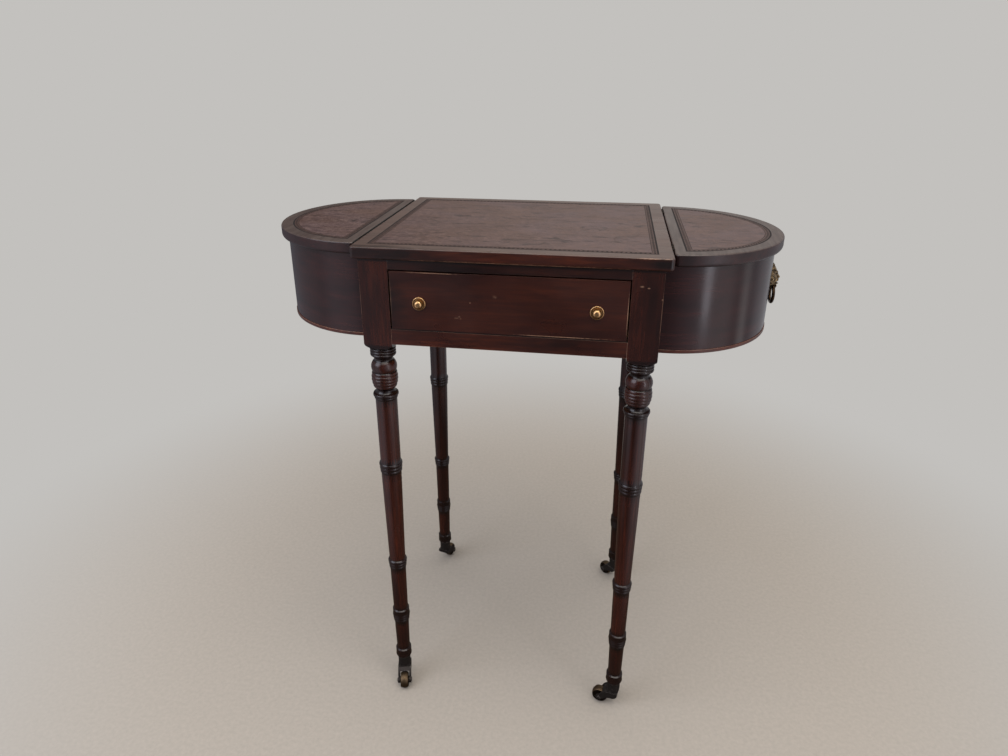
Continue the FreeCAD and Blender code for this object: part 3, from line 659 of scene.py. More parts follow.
def cast(name: str, shape: bmesh.types.BMesh, material: Material) -> Object:
    """Turn a built shape into an object, and free the shape.

    Args:
        name: The piece's name.
        shape: The shape.
        material: What it is made of.

    Returns:
        The new object.
    """
    mesh = bpy.data.meshes.new(name)
    shape.to_mesh(mesh)
    shape.free()
    return finish_object(name, mesh, material)


def stand_for(piece: Object, node: str) -> None:
    """Make a piece stand for a node: it rides on the node's body and hides the node.

    Args:
        piece: The finished piece.
        node: The node that it replaces.
    """
    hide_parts(node)
    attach(piece, BODY_OF[node])
    LOG.info("%s stands for %s", piece.name, node)


def lie_on(piece: Object, node: str) -> None:
    """Make a piece lie on a node: it rides on the node's body and leaves the node in sight.

    Args:
        piece: The finished piece.
        node: The node that carries it.
    """
    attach(piece, BODY_OF[node])
    LOG.info("%s lies on %s", piece.name, node)


def softened(node: str, finish: Finish, width: float, smooth: float = 38.0) -> Object:
    """Copy a node with its sharp edges eased, and mark the eased edges as worn.

    Args:
        node: The node to copy.
        finish: What the piece is made of.
        width: The width of the easing in millimetres.
        smooth: The sharpest bend in degrees that still counts as a round.

    Returns:
        The piece, which stands for the node.
    """
    bend = math.radians(smooth)
    shape = bmesh.new()
    shape.from_mesh(NODES[node].data)
    bmesh.ops.remove_doubles(shape, verts=shape.verts, dist=WELD_MM * MM)
    flat = math.radians(FLAT_DEGREES)
    bmesh.ops.dissolve_limit(shape, angle_limit=flat, verts=shape.verts, edges=shape.edges)
    worn = shape.faces.layers.float.new(WORN)
    sharp = [edge for edge in shape.edges if edge.is_manifold and edge.calc_face_angle() > bend]
    eased = bmesh.ops.bevel(
        shape, geom=sharp, offset=width * MM, segments=2, profile=0.6, affect="EDGES", clamp_overlap=True,
    )
    for face in eased["faces"]:
        face[worn] = 1.0
    for face in shape.faces:
        face.smooth = True
    piece = cast(node + "_piece", shape, finish.material())
    piece.data.set_sharp_from_angle(angle=bend)
    piece.modifiers.new("even_faces", "WEIGHTED_NORMAL").keep_sharp = True
    stand_for(piece, node)
    return piece


def paint_gap_shade(piece: Object, in_gap_shade: Callable[[Vector], bool]) -> None:
    """Mark the points of a piece that lie in a gap, where near-black shade is painted.

    Args:
        piece: The piece.
        in_gap_shade: Tells of a point in millimetres whether it lies in the painted shade.
    """
    shades = piece.data.attributes.new(GAP_SHADE, "FLOAT", "POINT")
    for vertex in piece.data.vertices:
        shades.data[vertex.index].value = float(in_gap_shade(vertex.co / MM))


def sized_tree(name: str, size: str) -> tuple[NodeTree, Node]:
    """Start a geometry tree that takes one size.

    Args:
        name: The tree's name.
        size: The name of the input that takes the size.

    Returns:
        The tree and the node that gives its inputs.
    """
    tree = bpy.data.node_groups.new(name, "GeometryNodeTree")
    for label, way, kind in (
        ("Geometry", "INPUT", "NodeSocketGeometry"), (size, "INPUT", "NodeSocketFloat"),
        ("Geometry", "OUTPUT", "NodeSocketGeometry"),
    ):
        tree.interface.new_socket(label, in_out=way, socket_type=kind)
    return tree, add(tree, "NodeGroupInput")


def close_tree(tree: NodeTree, shape: Node, material: Material) -> None:
    """End a geometry tree: turn its instances into faces, and give them their material.

    Args:
        tree: The tree.
        shape: The node that gives the shape.
        material: What the shape is made of.
    """
    real = add(tree, "GeometryNodeRealizeInstances", {"Geometry": shape})
    dyed = add(tree, "GeometryNodeSetMaterial", {"Geometry": real, "Material": material})
    add(tree, "NodeGroupOutput", {"Geometry": dyed})


def grow(
    name: str, data: bpy.types.ID, tree: NodeTree, size: tuple[str, float], material: Material
) -> Object:
    """Run a geometry tree on a path or an empty mesh, and keep what it makes as a plain mesh.

    Args:
        name: The new object's name.
        data: The path or the empty mesh.
        tree: The geometry tree.
        size: The name of the tree's size, and its value in millimetres.
        material: What the piece is made of.

    Returns:
        The new object.
    """
    holder = bpy.data.objects.new(name, data)
    bpy.context.scene.collection.objects.link(holder)
    maker = holder.modifiers.new("maker", "NODES")
    maker.node_group = tree
    label, millimetres = size
    maker[tree.interface.items_tree[label].identifier] = millimetres * MM
    bpy.context.view_layer.update()
    graph = bpy.context.evaluated_depsgraph_get()
    mesh = bpy.data.meshes.new_from_object(holder.evaluated_get(graph), depsgraph=graph)
    bpy.data.objects.remove(holder)
    return finish_object(name, mesh, material)


@dataclass
class Woodwork:
    """The legs, rails, panels, bins, top and lids, all of one mahogany."""

    edge_mm: float = 0.7
    board_edge_mm: float = 0.4
    leg_round: float = 50.0
    bend_center_x: float = 0.199
    top_mm: float = 735.0
    block_foot_mm: float = 604.0
    hollow_reach_mm: int = 5
    hollow_depth_mm: float = 0.7
    hollow_stain: float = 0.9
    shoulder_slope: float = 0.5
    inward_slope: float = 0.9
    opening_mm: Pair = (627.3, 707.7)
    joint_x_mm: float = -200.0
    joint_reach_mm: float = 1.6
    # A band of painted shadow under the top's overhang.
    rail_bands: tuple[Pair, ...] = ((717.5, 722.0),)
    ring_bands: tuple[Pair, ...] = (
        (577.0, 603.0), (518.0, 537.0), (399.0, 418.0), (227.0, 246.0), (121.0, 149.0), (20.0, 67.0),
        # The last band is painted shadow under the top's overhang; the others are stain on the rings.
        (717.5, 722.0),
    )
    # Painted shade on the front legs' blocks and feet, so that the shafts between them look lit.
    leg_smudges: tuple[SurfaceMark, ...] = tuple(
        SurfaceMark((side.value * 170.5, -149.5, height), size, strength)
        for height, size, strength in ((668.0, (60.0, 60.0, 82.0), 0.5), (76.0, (40.0, 40.0, 62.0), 0.45))
        for side in Side
    )
    # A thin pale line down the front left block's outer corner: painted edge highlight.
    corner_scuffs: tuple[SurfaceMark, ...] = (SurfaceMark((-189.4, -168.5, 666.0), (0.7, 2.5, 40.0), 0.35),)
    block_scuffs: tuple[SurfaceMark, ...] = (
        SurfaceMark((163.2, -168.5, 699.9), (3.2, 2.0, 1.5)),
        SurfaceMark((171.7, -168.5, 698.2), (2.2, 2.0, 1.0)),
        SurfaceMark((188.6, -168.5, 684.5), (1.6, 2.0, 1.6)),
        # A thin pale line down the block's right edge: painted edge highlight.
        SurfaceMark((189.4, -168.5, 664.0), (0.8, 2.5, 44.0), 0.5),
    )
    top_scuffs: tuple[SurfaceMark, ...] = (
        SurfaceMark((170.0, -172.0, 735.0), (20.0, 2.0, 0.7)),
        SurfaceMark((190.0, -172.0, 735.0), (6.0, 2.0, 1.0)),
        SurfaceMark((62.0, -172.0, 721.0), (34.0, 2.5, 1.0)),
        SurfaceMark((-72.0, -172.0, 721.0), (16.0, 2.5, 0.8)),
        # A thin pale line along the top's lower front edge: painted edge highlight.
        SurfaceMark((0.0, -172.0, 720.4), (250.0, 3.0, 2.2)),
    )
    # Painted shade on both ends of the top's front edge.
    top_smudges: tuple[SurfaceMark, ...] = (
        SurfaceMark((-165.0, -172.0, 728.5), (115.0, 22.0, 15.0), 0.88),
        SurfaceMark((192.0, -172.0, 727.0), (42.0, 3.0, 10.0), 0.95),
    )

    def build(self) -> None:
        """Ease the edges of every wooden leg and board, and give each its own grain."""
        self.turn_legs()
        self.frame_opening()
        self.bend_bins()

    def turn_legs(self) -> None:
        """Dress the legs: the front left one is the reddest, the back ones take a darker copy as painted
        shade, and the front right one, darker too, is scuffed.
        """
        red = Mahogany(
            "turned_red_mahogany", Grain.ALONG_Z, stain_bands=self.ring_bands, edge_wear=0.65,
            gloss=(0.18, 0.28), scuffs=self.corner_scuffs, smudges=self.leg_smudges,
            ground="#220e0b", body="#3a1911", streak="#552416", streak_mm=(60.0, 2.8),
        )
        # A darker copy of the wood: painted shade on the back legs.
        dark = replace(red, name="turned_dark_mahogany", ground="#1d0c09", body="#32150f", streak="#472015")
        scuffed = replace(
            dark, name="turned_scuffed_mahogany", scuffs=self.block_scuffs, body="#351610", streak="#4d2116"
        )
        wood = {Corner.FRONT_LEFT: red, Corner.FRONT_RIGHT: scuffed}
        for corner in Corner:
            node = corner.value + "_leg"
            leg = softened(node, wood.get(corner, dark), self.edge_mm, self.leg_round)
            self.darken_hollows(leg.data, node)

    def frame_opening(self) -> None:
        """Dress the rails, the back and the top, with painted shade in the drawer's gaps and the left
        joint, and painted shadow on the top rail under the top's overhang.
        """
        along = Mahogany("sawn_mahogany_along", Grain.ALONG_X)
        # The top rail takes a darker copy of the wood as painted shade under the top's overhang, with a
        # band of painted shadow just below the top.
        shaded = replace(
            along, name="sawn_dark_mahogany", stain_bands=self.rail_bands, edge_wear=0.1,
            ground="#180a09", body="#2a120e", streak="#3f1d13",
        )
        top = Mahogany(
            "top_mahogany", Grain.ALONG_X, scuffs=self.top_scuffs, smudges=self.top_smudges,
            faded_above=self.top_mm,
        )
        low, high = self.opening_mm
        # The rails' faces towards the drawer, in the gaps, take painted shade.
        paint_gap_shade(softened("front_top_rail", shaded, self.board_edge_mm), lambda point: point.z < high)
        paint_gap_shade(softened("front_bottom_rail", along, self.board_edge_mm), lambda point: point.z > low)
        softened("back_panel", along, self.board_edge_mm)
        # The top takes painted shade in its joint with the left lid.
        paint_gap_shade(softened("center_top", top, self.board_edge_mm), self.in_joint)

    def bend_bins(self) -> None:
        """Dress the bins, the panels that close them and their lids."""
        deep = Mahogany("sawn_mahogany_deep", Grain.ALONG_Y)
        red_edge = replace(
            deep, name="sawn_mahogany_bare_edge", ground="#3a1a12", body="#54281b", streak="#6b3524"
        )
        veneer = Mahogany(
            "bent_mahogany", Grain.ALONG_X, edge_wear=0.2, gloss=(0.15, 0.23),
            ground="#1c0c0c", body="#2d1413", streak="#421d19",
        )
        lid = replace(
            veneer, name="lid_mahogany", grain=Grain.ALONG_Y, edge_wear=0.5, gloss=(0.3, 0.42),
            faded_above=self.top_mm, faded="#564a44",
        )
        for side in Side:
            bent = replace(
                veneer, name="bent_mahogany_" + side.label, bend_center_x=side.value * self.bend_center_x
            )
            for part, finish in (("_side_panel", deep), ("_bin_wall", bent), ("_bin_bottom", red_edge)):
                softened(side.label + part, finish, self.board_edge_mm)
            # The left lid takes painted shade in its joint with the top.
            paint_gap_shade(softened(side.label + "_lid", lid, self.board_edge_mm), self.in_joint)

    def in_joint(self, point: Vector) -> bool:
        """Tell whether a point lies in the joint between the left lid and the top."""
        return abs(point.x - self.joint_x_mm) < self.joint_reach_mm

    def darken_hollows(self, mesh: Mesh, node: str) -> None:
        """Mark where the stain has gathered on a leg, in its grooves, necks and shoulders, and paint shade
        on the inner face of its block.

        Args:
            mesh: The leg's mesh.
            node: The leg's node.
        """
        low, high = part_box(node)
        middle = (low + high) / 2
        faces = mesh.polygons
        reaches = [math.hypot(face.center.x - middle.x, face.center.y - middle.y) / MM for face in faces]
        heights = [face.center.z / MM for face in faces]
        levels: dict[int, list[float]] = {}
        for reach, height in zip(reaches, heights):
            levels.setdefault(round(height), []).append(reach)
        shades = mesh.attributes.new(HOLLOW, "FLOAT", "FACE").data
        for face, reach, height in zip(faces, reaches, heights):
            if height >= self.block_foot_mm:
                # The block's inner face takes full painted shade.
                inward = face.normal.x * middle.x < -self.inward_slope * abs(middle.x)
                shades[face.index].value = float(inward)
                continue
            span = range(round(height) - self.hollow_reach_mm, round(height) + self.hollow_reach_mm + 1)
            near = [value for level in span for value in levels.get(level, ())]
            sunk = (sum(near) / len(near) - reach) / self.hollow_depth_mm
            shoulder = abs(face.normal.z) - self.shoulder_slope
            shades[face.index].value = self.hollow_stain * min(max(sunk, shoulder, 0.0), 1.0)


@dataclass
class Drawer:
    """The drawer, its knobs and what it runs on."""

    front_mm: float = -168.5
    # How far behind the front's face its edge faces start and end, in millimetres; these faces take painted
    # shade in the gaps.
    soiled_mm: Pair = (0.18, 8.0)
    edge_mm: float = 0.9
    inner_edge_mm: float = 0.4
    knob_edge_mm: float = 0.15
    knob_round: float = 25.0
    screw_edge_mm: float = 0.3
    dish_mm: Pair = (4.9, 7.3)
    dish_tarnish: float = 0.9
    scuffs: tuple[SurfaceMark, ...] = (
        SurfaceMark((-64.2, -168.5, 647.6), (3.4, 2.0, 0.9), 0.32),
        SurfaceMark((-60.4, -168.5, 649.4), (2.2, 2.0, 1.3), 0.24),
        SurfaceMark((-58.6, -168.5, 646.9), (1.5, 2.0, 0.8), 0.3),
        SurfaceMark((-46.1, -168.5, 668.6), (0.9, 2.0, 0.9)),
        SurfaceMark((-15.0, -168.5, 678.0), (4.0, 2.0, 3.2), 0.14),
        SurfaceMark((-13.6, -168.5, 677.2), (1.2, 2.0, 0.7), 0.3),
        # Thin pale lines along the front's left, right and top edges: painted edge highlight.
        SurfaceMark((-149.0, -168.5, 668.0), (0.6, 2.5, 40.0)),
        SurfaceMark((149.0, -168.5, 664.0), (0.6, 2.5, 34.0)),
        SurfaceMark((-95.0, -168.5, 704.9), (46.0, 2.5, 0.6)),
        SurfaceMark((70.0, -168.5, 629.7), (75.0, 2.5, 0.7)),
    )
    # Painted shade on the front's left end, and a dark line of painted shade along its bottom edge in the
    # gap above the rail.
    smudges: tuple[SurfaceMark, ...] = (
        SurfaceMark((-160.0, -168.5, 660.0), (40.0, 3.0, 60.0)),
        SurfaceMark((0.0, -168.5, 628.0), (600.0, 3.0, 1.5), 0.9),
    )

    def build(self) -> None:
        """Dress the drawer's boards and fittings."""
        front = Mahogany(
            "drawer_front_mahogany", Grain.ALONG_X, scuffs=self.scuffs, smudges=self.smudges,
            edge_wear=0.35, ground="#29110d", body="#3a1911", streak="#532616", streak_mm=(70.0, 2.8),
        )
        # The front's edge faces, in the gaps round it, take painted shade.
        near, far = self.soiled_mm
        board = softened("drawer_front", front, self.edge_mm)
        paint_gap_shade(board, lambda point: near < point.y - self.front_mm < far)
        deep = PlanedOak("planed_oak_deep", Grain.ALONG_Y)
        across = PlanedOak("planed_oak_across", Grain.ALONG_X)
        for node in (
            "drawer_left_side", "drawer_right_side", "drawer_kickers",
            "left_drawer_runner", "right_drawer_runner",
        ):
            softened(node, deep, self.inner_edge_mm)
        for node in ("drawer_back", "drawer_bottom", "drawer_stops"):
            softened(node, across, self.inner_edge_mm)
        for node in ("left_knob", "right_knob"):
            self.tarnish_dish(softened(node, KNOB_BRASS, self.knob_edge_mm, self.knob_round).data, node)
        softened("knob_screws", STEEL, self.screw_edge_mm)

    def tarnish_dish(self, mesh: Mesh, node: str) -> None:
        """Mark the dish round a knob's dome, which no hand rubs, and the rim and dome that are rubbed.

        Args:
            mesh: The knob's mesh.
            node: The knob's node.
        """
        low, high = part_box(node)
        middle = (low + high) / 2
        inner, outer = self.dish_mm

        def in_dish(point: Vector) -> bool:
            """Tell whether a point lies in the dish."""
            return inner < math.hypot(point.x - middle.x, point.z - middle.z) / MM < outer

        shades = mesh.attributes.new(HOLLOW, "FLOAT", "POINT").data
        for vertex in mesh.vertices:
            shades[vertex.index].value = self.dish_tarnish * in_dish(vertex.co)
        worn = mesh.attributes[WORN].data
        for face in mesh.polygons:
            worn[face.index].value = float(not in_dish(face.center))


@dataclass(frozen=True)
class TooledBorder:
    """The blind-tooled border of one leather panel: a groove at the edge, a pressed band and rope stamps.

    Sizes are in millimetres, measured inwards from the leather's edge.
    """

    node: str
    straight_side: Side | None = None
    groove: Pair = (-0.9, 1.3)
    band: Pair = (1.3, 7.4)
    inner_line: Pair = (6.8, 7.4)
    stamp_line: float = 3.7
    stamp_pitch: float = 5.7
    stamp_size: Pair = (4.2, 2.8)
    stamp_slant: float = 0.5
    stamp_corners: int = 6
    lift: float = 0.03
    arc_steps: int = 72

    def outline(self, inset: float) -> list[Vector]:
        """Trace the panel's edge, moved inwards.

        Args:
            inset: How far the line lies inside the edge, in millimetres.

        Returns:
            The corners of the closed line, in metres, anticlockwise from above.
        """
        low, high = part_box(self.node)
        move = inset * MM
        if self.straight_side is None:
            x0, y0, x1, y1 = low.x + move, low.y + move, high.x - move, high.y - move
            return [Vector((x, y, high.z)) for x, y in ((x0, y0), (x1, y0), (x1, y1), (x0, y1))]
        sign = self.straight_side.value
        deep = high.x - low.x
        radius = (high.y ** 2 + deep ** 2) / (2 * deep)
        straight = min(abs(low.x), abs(high.x))
        center = straight + deep - radius
        reach = radius - move
        spread = math.acos((straight + move - center) / reach)
        points = []
        for step in range(self.arc_steps + 1):
            angle = spread * (2 * step / self.arc_steps - 1)
            out = center + reach * math.cos(angle)
            points.append(Vector((sign * out, reach * math.sin(angle), high.z)))
        return points if sign > 0 else points[::-1]

    def strip(self, name: str, insets: Pair, lift: float, material: Material) -> None:
        """Lay a flat strip between two lines round the panel.

        Args:
            name: The end of the piece's name.
            insets: The strip's outer and inner line.
            lift: How far it lies above the leather.
            material: What it is made of.
        """
        shape = bmesh.new()
        rise = Vector((0, 0, lift * MM))
        outer, inner = (
            [shape.verts.new(point + rise) for point in self.outline(inset)] for inset in insets
        )
        for start in range(len(outer)):
            end = (start + 1) % len(outer)
            shape.faces.new((outer[start], outer[end], inner[end], inner[start]))
        lie_on(cast(self.node + name, shape, material), self.node)

    def stamp_tree(self, material: Material) -> NodeTree:
        """Build the node tree that sets slanted stamps along a line.

        Args:
            material: What the stamps are made of.

        Returns:
            The tree, with the pitch of the stamps as a named input.
        """
        tree, given = sized_tree("rope_stamps", "Pitch")
        points = add(
            tree, "GeometryNodeCurveToPoints",
            {"Curve": given.outputs["Geometry"], "Length": given.outputs["Pitch"]}, mode="LENGTH",
        )
        turn = add(
            tree, "FunctionNodeAlignRotationToVector", {"Vector": points.outputs["Tangent"]},
            axis="X", pivot_axis="Z",
        )
        slanted = add(
            tree, "FunctionNodeRotateRotation", {"Rotation": turn, "Rotate By": (0, 0, self.stamp_slant)},
            rotation_space="LOCAL",
        )
        lozenge = add(
            tree, "GeometryNodeMeshCircle", {"Vertices": self.stamp_corners, "Radius": 0.5},
            fill_type="NGON",
        )
        long, wide = self.stamp_size
        stamps = add(
            tree, "GeometryNodeInstanceOnPoints",
            {
                "Points": points.outputs["Points"], "Instance": lozenge, "Rotation": slanted,
                "Scale": (long * MM, wide * MM, 1.0),
            },
        )
        close_tree(tree, stamps, material)
        return tree

    def stamp(self, material: Material) -> None:
        """Set the stamps along the middle of the band.

        Args:
            material: What the stamps are made of.
        """
        points = self.outline(self.stamp_line)
        path = bpy.data.curves.new(self.node + "_path", "CURVE")
        path.dimensions = "3D"
        line = path.splines.new("POLY")
        line.points.add(len(points) - 1)
        for spot, point in zip(line.points, points):
            spot.co = (point.x, point.y, point.z + 2 * self.lift * MM, 1.0)
        line.use_cyclic_u = True
        tree = self.stamp_tree(material)
        lie_on(grow(self.node + "_stamps", path, tree, ("Pitch", self.stamp_pitch), material), self.node)

    def build(self, dark: Material, pressed: Material) -> None:
        """Lay the band, the groove, the band's inner line and the stamps.

        Args:
            dark: The material of the lines and stamps.
            pressed: The material of the band.
        """
        self.strip("_band", self.band, self.lift, pressed)
        self.strip("_groove", self.groove, 2 * self.lift, dark)
        self.strip("_line", self.inner_line, 2 * self.lift, dark)
        self.stamp(dark)


@dataclass
class LeatherPanels:
    """The leather in the top and the lids, with its tooled borders."""

    edge_mm: float = 0.25

    def build(self) -> None:
        """Dress the leather and tool its borders."""
        dark = PressedLeather("blind_tooled_leather", "#100907", "#1d110e", 0.75).material()
        pressed = PressedLeather("pressed_leather", "#3d2a24", "#574038", 0.46).material()
        borders = [TooledBorder("center_leather")]
        borders += [TooledBorder(side.label + "_lid_leather", side) for side in Side]
        for border in borders:
            softened(border.node, WaxedLeather(), self.edge_mm)
            border.build(dark, pressed)


@dataclass(frozen=True)
class Bump:
    """A rounded rise, or a hollow where the rise is negative, on the lion's face, in millimetres."""

    across: float
    up: float
    width: float
    tall: float
    rise: float

    def at(self, across: float, up: float) -> float:
        """Give the bump's height at a point; one off the middle line has a twin on the other side.

        Args:
            across: How far to the side of the mask's middle.
            up: How far above the mask's middle.

        Returns:
            The height.
        """
        twins = (self.across, -self.across) if self.across else (0.0,)
        drop = ((up - self.up) / self.tall) ** 2
        return self.rise * sum(math.exp(-(((across - twin) / self.width) ** 2) - drop) for twin in twins)


@dataclass
class LionPull:
    """A lion mask, cast in relief, that holds the ring of one bin in its jaw; sizes are in millimetres."""

    side: Side
    wall_radius: float = 143.6
    wall_center: float = 199.0
    radius: float = 15.4
    lobes: int = 14
    lobe_depth: float = 0.7
    plate: float = 3.4
    rings: int = 42
    spokes: int = 140
    mane_start: float = 8.0
    mane_run: float = 3.0
    mane_ridge: float = 0.7
    mane_twist: float = 0.35
    recess_step: float = 1.1
    recess_gain: float = 3.2
    recess_least: float = 0.15
    jaw_radii: Pair = (3.1, 4.6)
    jaw_half_width: float = 3.4
    jaw_eases: Triple = (0.4, 0.5, 0.6)
    jaw_steps: int = 32
    ring_edge: float = 0.1
    ring_round: float = 60.0
    tuft_rings: tuple[tuple[int, float, float], ...] = ((22, 12.9, 3.2), (17, 10.6, 4.8))
    tuft_length: float = 4.4
    tuft_girth: float = 0.42
    tuft_growth: Pair = (0.8, 1.2)
    tuft_sway: tuple[Triple, Triple] = ((0.0, 0.4, -0.4), (0.0, 0.7, 0.4))
    sway_seed: int = 3
    growth_seed: int = 11
    features: tuple[Bump, ...] = (
        Bump(0.0, -1.0, 9.0, 13.0, 7.2),
        Bump(0.0, 7.0, 5.0, 4.4, 1.3),
        Bump(0.0, -0.5, 1.9, 5.0, 2.0),
        Bump(0.0, -3.2, 2.4, 2.3, 2.7),
        Bump(0.0, -10.0, 5.0, 5.0, 3.0),
        Bump(2.6, -7.4, 2.4, 2.4, 2.8),
        Bump(0.0, -12.5, 3.4, 2.4, 4.3),
        Bump(0.0, -10.4, 3.6, 0.8, -2.0),
        Bump(1.4, -4.8, 0.7, 0.6, -1.4),
        Bump(3.4, 4.4, 2.4, 1.2, 1.9),
        Bump(3.6, 2.2, 1.8, 1.2, -2.4),
        Bump(3.6, 2.2, 0.9, 0.8, 1.5),
        Bump(6.2, -2.5, 2.6, 3.0, 1.4),
        Bump(8.2, 7.6, 2.2, 2.2, 2.4),
        Bump(8.2, 7.4, 1.0, 1.0, -2.0),
    )

    def build(self) -> None:
        """Model the mask with its jaw and mane, and dress the ring."""
        brass = MASK_BRASS.material()
        node = self.side.label + "_lion_mask"
        center_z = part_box(node)[1].z / MM - self.radius
        shape = bmesh.new()
        self.cast_face(shape, center_z)
        self.cast_jaw(shape)
        for face in shape.faces:
            face.smooth = True
        if self.side is Side.LEFT:
            bmesh.ops.scale(shape, vec=(-1, 1, 1), verts=shape.verts)
            bmesh.ops.reverse_faces(shape, faces=shape.faces)
        stand_for(cast(node + "_piece", shape, brass), node)
        start = bpy.data.meshes.new(node + "_mane")
        tree = self.mane_tree(brass, center_z)
        lie_on(grow(node + "_mane", start, tree, ("Tuft", self.tuft_length), brass), node)
        softened(self.side.label + "_pull_ring", RING_BRASS, self.ring_edge, self.ring_round)

    def wall_x(self, across: float) -> float:
        """Give where the bin's wall lies at a distance from the middle of the mask."""
        return self.wall_center + math.sqrt(self.wall_radius ** 2 - across ** 2)

    def height(self, across: float, up: float) -> float:
        """Give the relief's height above the wall.

        Args:
            across: How far to the side of the mask's middle.
            up: How far above the mask's middle.

        Returns:
            The height.
        """
        reach = math.hypot(across, up)
        mane = min(max((reach - self.mane_start) / self.mane_run, 0.0), 1.0)
        turn = self.lobes * math.atan2(up, across) + self.mane_twist * reach
        ridges = mane * self.mane_ridge * math.cos(turn)
        return self.plate + ridges + sum(bump.at(across, up) for bump in self.features)

    def recess(self, across: float, up: float) -> float:
        """Mark where the relief lies lower than what is round it.

        Args:
            across: How far to the side of the mask's middle.
            up: How far above the mask's middle.

        Returns:
            How deep the recess is, from 0 to 1.
        """
        around = [
            self.height(across + self.recess_step * math.cos(turn), up + self.recess_step * math.sin(turn))
            for turn in (0.0, math.pi / 2, math.pi, 3 * math.pi / 2)
        ]
        sunk = sum(around) / len(around) - self.height(across, up)
        return min(max(sunk * self.recess_gain + self.recess_least, 0.0), 1.0)

    def cast_face(self, shape: bmesh.types.BMesh, center_z: float) -> None:
        """Raise the face over a fan of rings, close its rim to the wall, and mark its recesses.

        Args:
            shape: The mesh that takes the face.
            center_z: The height of the mask's middle.
        """
        hollow = shape.verts.layers.float.new(HOLLOW)

        def point(across: float, up: float, height: float) -> bmesh.types.BMVert:
            """Add a point at a height above the wall."""
            return shape.verts.new(Vector((self.wall_x(across) + height, across, center_z + up)) * MM)

        previous = [point(0.0, 0.0, self.height(0.0, 0.0))]
        for ring in range(1, self.rings + 2):
            current = []
            raised = ring <= self.rings
            share = min(ring / self.rings, 1.0)
            for spoke in range(self.spokes):
                angle = 2 * math.pi * spoke / self.spokes
                edge = self.radius + self.lobe_depth * math.cos(self.lobes * angle)
                across, up = edge * share * math.cos(angle), edge * share * math.sin(angle)
                vertex = point(across, up, self.height(across, up) if raised else 0.0)
                vertex[hollow] = self.recess(across, up) if raised else 1.0
                current.append(vertex)
            for spoke in range(self.spokes):
                after = (spoke + 1) % self.spokes
                if len(previous) == 1:
                    shape.faces.new((previous[0], current[spoke], current[after]))
                else:
                    shape.faces.new((previous[spoke], current[spoke], current[after], previous[after]))
            previous = current

    def cast_jaw(self, shape: bmesh.types.BMesh) -> None:
        """Add the eye under the chin that the ring hangs in.

        Args:
            shape: The mesh that takes the eye.
        """
        low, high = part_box(self.side.label + "_pull_ring")
        wire = (high.x - low.x) / 2
        center = Vector((abs(low.x + high.x) / 2, 0, high.z - wire))
        inner, outer = self.jaw_radii
        half = self.jaw_half_width
        bore, rim, cheek = self.jaw_eases
        profile = (
            (inner, -half + bore), (inner, half - bore), (inner + bore, half), (outer - rim, half),
            (outer, half - cheek), (outer, -half + cheek), (outer - rim, -half), (inner + bore, -half),
        )
        loops = []
        for step in range(self.jaw_steps):
            angle = 2 * math.pi * step / self.jaw_steps
            out, up = math.cos(angle), math.sin(angle)
            loops.append([
                shape.verts.new(center + Vector((size * out, along, size * up)) * MM)
                for size, along in profile
            ])
        for here, after in zip(loops, loops[1:] + loops[:1]):
            for corner in range(len(profile)):
                beside = (corner + 1) % len(profile)
                shape.faces.new((here[corner], here[beside], after[beside], after[corner]))

    def mane_tree(self, brass: Material, center_z: float) -> NodeTree:
        """Build the node tree that sets rings of tufts round the face.

        Args:
            brass: The mask's metal.
            center_z: The height of the mask's middle.

        Returns:
            The tree, with the size of a tuft as a named input.
        """
        tree, given = sized_tree("mane_tufts", "Tuft")
        ball = add(tree, "GeometryNodeMeshIcoSphere", {"Radius": 0.5, "Subdivisions": 2})
        smooth = add(tree, "GeometryNodeSetShadeSmooth", {"Geometry": ball})
        thin = (1.0, self.tuft_girth, self.tuft_girth)
        lock = add(tree, "GeometryNodeTransform", {"Geometry": smooth, "Scale": thin})
        joined = add(tree, "GeometryNodeJoinGeometry")
        for number, (count, reach, height) in enumerate(self.tuft_rings):
            ring = add(tree, "GeometryNodeMeshCircle", {"Vertices": count, "Radius": reach * MM})
            radial = add(tree, "GeometryNodeInputPosition")
            turn = add(
                tree, "FunctionNodeAlignRotationToVector", {"Vector": radial}, axis="X", pivot_axis="Z"
            )
            sway = add(
                tree, "FunctionNodeRandomValue",
                {0: self.tuft_sway[0], 1: self.tuft_sway[1], "Seed": number + self.sway_seed},
                data_type="FLOAT_VECTOR",
            )
            swayed = add(
                tree, "FunctionNodeRotateRotation", {"Rotation": turn, "Rotate By": sway},
                rotation_space="LOCAL",
            )
            growth = add(
                tree, "FunctionNodeRandomValue",
                {2: self.tuft_growth[0], 3: self.tuft_growth[1], "Seed": number + self.growth_seed},
                data_type="FLOAT",
            )
            size = add(tree, "ShaderNodeMath", {0: growth, 1: given.outputs["Tuft"]}, operation="MULTIPLY")
            tufts = add(
                tree, "GeometryNodeInstanceOnPoints",
                {"Points": ring, "Instance": lock, "Rotation": swayed, "Scale": size},
            )
            rise = (0, 0, height * MM)
            raised = add(tree, "GeometryNodeTransform", {"Geometry": tufts, "Translation": rise})
            tree.links.new(raised.outputs[0], joined.inputs[0])
        sign = self.side.value
        outward = add(
            tree, "GeometryNodeTransform",
            {
                "Geometry": joined, "Rotation": (0.0, sign * math.pi / 2, 0.0),
                "Translation": Vector((sign * self.wall_x(0.0), 0.0, center_z)) * MM,
            },
        )
        close_tree(tree, outward, brass)
        return tree


